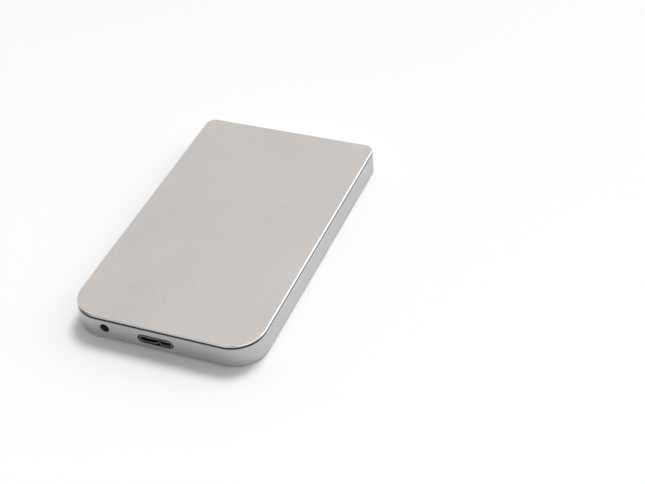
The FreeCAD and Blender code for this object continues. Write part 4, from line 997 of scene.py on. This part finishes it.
wire, given = start_tree("star_screw", ("Head Radius", "Head Height", "Head Cone", "Shank Radius",
                                        "Shank Length", "Recess Depth", "Upside Down"))
place = wire.node("GeometryNodeInputPosition")
angle = (part_of(place, "X") + HALF) * (2 * math.pi)
lobes = 1.0 + LOBE_WAVE * wire.sum("COSINE", angle * LOBES)
head, shank, depth = given["Head Radius"], given["Shank Radius"], given["Recess Depth"]
rise, reach = given["Head Height"], given["Shank Length"]
profile = (
    (0.0, -1.0 * reach),
    (TIP_WIDTH * shank, -1.0 * reach),
    (shank, TIP_TAPER * shank - reach),
    (shank, -1.0 * given["Head Cone"]),
    (head, 0.0),
    (head, HEAD_EDGE * rise),
    (HEAD_FLAT * head, rise),
    (RECESS_TOP * head * lobes, rise),
    (RECESS_FLOOR * head * lobes, rise - depth),
    (0.0, rise - depth),
)
row = (part_of(place, "Y") + HALF) * (len(profile) - 1) + HALF


def by_row(values):
    """Picks the value of the sheet's row."""
    switch = {"data_type": "FLOAT", "items": len(profile)}
    choices = {1 + number: value for number, value in enumerate(values)}
    return wire.node("GeometryNodeIndexSwitch", switch, {0: row, **choices})


radius, height = (by_row(values) for values in zip(*profile))
wrapped = wire.node("ShaderNodeCombineXYZ", sockets={
    "X": radius * wire.sum("COSINE", angle), "Y": radius * wire.sum("SINE", angle), "Z": height})
sheet = wire.node("GeometryNodeMeshGrid", sockets={
    "Size X": 1.0, "Size Y": 1.0, "Vertices X": SCREW_SIDES + 1, "Vertices Y": len(profile)})
screw = wire.node("GeometryNodeSetPosition", sockets={"Geometry": sheet, "Position": wrapped})
screw = wire.node("GeometryNodeMergeByDistance", sockets={"Geometry": screw, "Distance": SEAM})
flip = wire.node("ShaderNodeCombineXYZ", sockets={"X": given["Upside Down"] * math.pi})
screw_tree = end_tree(wire, given, screw, flip)
print("screw tree:", len(screw_tree.nodes), "nodes")

# %% [markdown]
# The table gives, in millimetres, what the boxes of the solids don't tell:
# how high the head is, how deep its cone and how thick the shank.
# It also says which way the head faces and what the screw moves with.

# %% Set the screws
FLAT_SHARE = math.cos(math.pi / 6)
RECESS_SHARE = 0.7
SCREW_SETS = {
    "case_screws": {"head": 1.0, "cone": 0.0, "shank": 0.9, "down": 1.0, "body": "case"},
    "bridge_board_screws": {"head": 0.5, "cone": 0.0, "shank": 0.7, "down": 0.0, "body": "case"},
    "cover_screws": {"head": 0.0, "cone": 0.5, "shank": 0.7, "down": 0.0, "body": "case"},
    "drive_board_screws": {"head": 0.5, "cone": 0.0, "shank": 0.7, "down": 1.0, "body": "case"},
    "clamp_screw": {"head": 0.5, "cone": 0.0, "shank": 0.9, "down": 0.0, "body": "spindle"},
}

for node, sizes in SCREW_SETS.items():
    boxes = separate_solids(node)
    low, high = boxes[0]
    head_height = sizes["head"] * MM
    seats = []
    for box_low, box_high in boxes:
        middle = (box_low + box_high) / 2
        seat_height = box_low.z + head_height if sizes["down"] else box_high.z - head_height
        seats.append((middle.x, middle.y, seat_height))
    screws = grow(node + "_star", screw_tree, seats, {
        "Head Radius": min(high.x - low.x, high.y - low.y) / 2,
        "Head Height": head_height,
        "Head Cone": sizes["cone"] * MM,
        "Shank Radius": sizes["shank"] * FLAT_SHARE * MM,
        "Shank Length": high.z - low.z - head_height,
        "Recess Depth": RECESS_SHARE * max(head_height, sizes["cone"] * MM),
        "Upside Down": sizes["down"],
        "Finish": screw_steel,
    })
    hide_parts(node)
    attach(screws, sizes["body"])
    print(screws.name, len(seats), "screws,", len(screws.data.polygons), "faces")

# %% [markdown]
# ## Chip legs
#
# A flat chip stands on tinned legs, bent like a gull's wing from its side down to the board.
# Each leg is a ribbon along a short curve, so the tree sweeps a rectangle along a Bezier segment,
# and every point along the chip's sides gets one, turned outward.
# Modelling one leg by hand would work too, but a curve keeps its sizes as inputs.

# %% Build the leg tree
LEG_STEPS = 6
BEND_OUT = 0.6
BEND_BACK = 0.3

wire, given = start_tree("chip_leg", ("Reach", "Drop", "Width", "Thickness"))
bend = {"Resolution": LEG_STEPS, "Start": (0.0, 0.0, 0.0)}
bend_shares = {"Start Handle": (BEND_OUT, 0.0), "End Handle": (BEND_BACK, -1.0), "End": (1.0, -1.0)}
for label, (share, falls) in bend_shares.items():
    corner = {"X": share * given["Reach"], "Z": falls * given["Drop"]}
    bend[label] = wire.node("ShaderNodeCombineXYZ", sockets=corner)
path = wire.node("GeometryNodeCurvePrimitiveBezierSegment", sockets=bend)
ribbon = wire.node("GeometryNodeCurvePrimitiveQuadrilateral",
                   sockets={"Width": given["Width"], "Height": given["Thickness"]})
leg = wire.node("GeometryNodeCurveToMesh",
                sockets={"Curve": path, "Profile Curve": ribbon, "Fill Caps": True})
turn_named = wire.node("GeometryNodeInputNamedAttribute", {"data_type": "FLOAT"}, {"Name": "turn"})
outward_turn = wire.node("ShaderNodeCombineXYZ", sockets={"Z": turn_named})
leg_tree = end_tree(wire, given, leg, outward_turn)
print("leg tree:", len(leg_tree.nodes), "nodes")

# %% Set the legs
LEG_PITCH = 0.65 * MM
LEG_WIDTH = 0.28 * MM
LEG_THICKNESS = 0.12 * MM
LEG_REACH = 0.70 * MM
CORNER_ROOM = 0.8 * MM
LEGGED_SIDES = {"bridge_chip": (0, 1, 2, 3), "controller_chip": (0, 1, 2, 3), "cache_chip": (1, 3),
                "motor_chip": (0, 1, 2, 3)}


def leg_roots(low, high, sides):
    """Where the legs leave the chip, and which way each one turns."""
    middle = (low + high) / 2
    half = (high - low) / 2
    roots, turns = [], []
    for side in sides:
        angle = side * math.pi / 2
        outward = Vector((math.cos(angle), math.sin(angle), 0.0))
        beside = Vector((-outward.y, outward.x, 0.0))
        out_half, side_half = (half.x, half.y) if side % 2 == 0 else (half.y, half.x)
        count = int((2 * side_half - CORNER_ROOM) / LEG_PITCH) + 1
        for number in range(count):
            shift = (number - (count - 1) / 2) * LEG_PITCH
            roots.append(middle + out_half * outward + shift * beside)
            turns.append(angle)
    return roots, turns


leg_tin = grained("leg_tin", dark=(0.50, 0.49, 0.46), light=(0.66, 0.65, 0.61), grain=0.06 * MM,
                  rough=0.30, metal=1.0)
for chip, sides in LEGGED_SIDES.items():
    low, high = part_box(chip)
    roots, turns = leg_roots(low, high, sides)
    legs = grow(chip + "_legs", leg_tree, roots, {
        "Reach": LEG_REACH,
        "Drop": (high.z - low.z - LEG_THICKNESS) / 2,
        "Width": LEG_WIDTH,
        "Thickness": LEG_THICKNESS,
        "Finish": leg_tin,
    }, turns)
    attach(legs, "case")
    print(legs.name, len(roots), "legs,", len(legs.data.polygons), "faces")

# %% [markdown]
# ## The size
#
# Of the added pieces, only the lamp's nose reaches beyond the box of the bare solids, by less than half a
# millimetre.

# %% Finish
print("the scene is dressed")
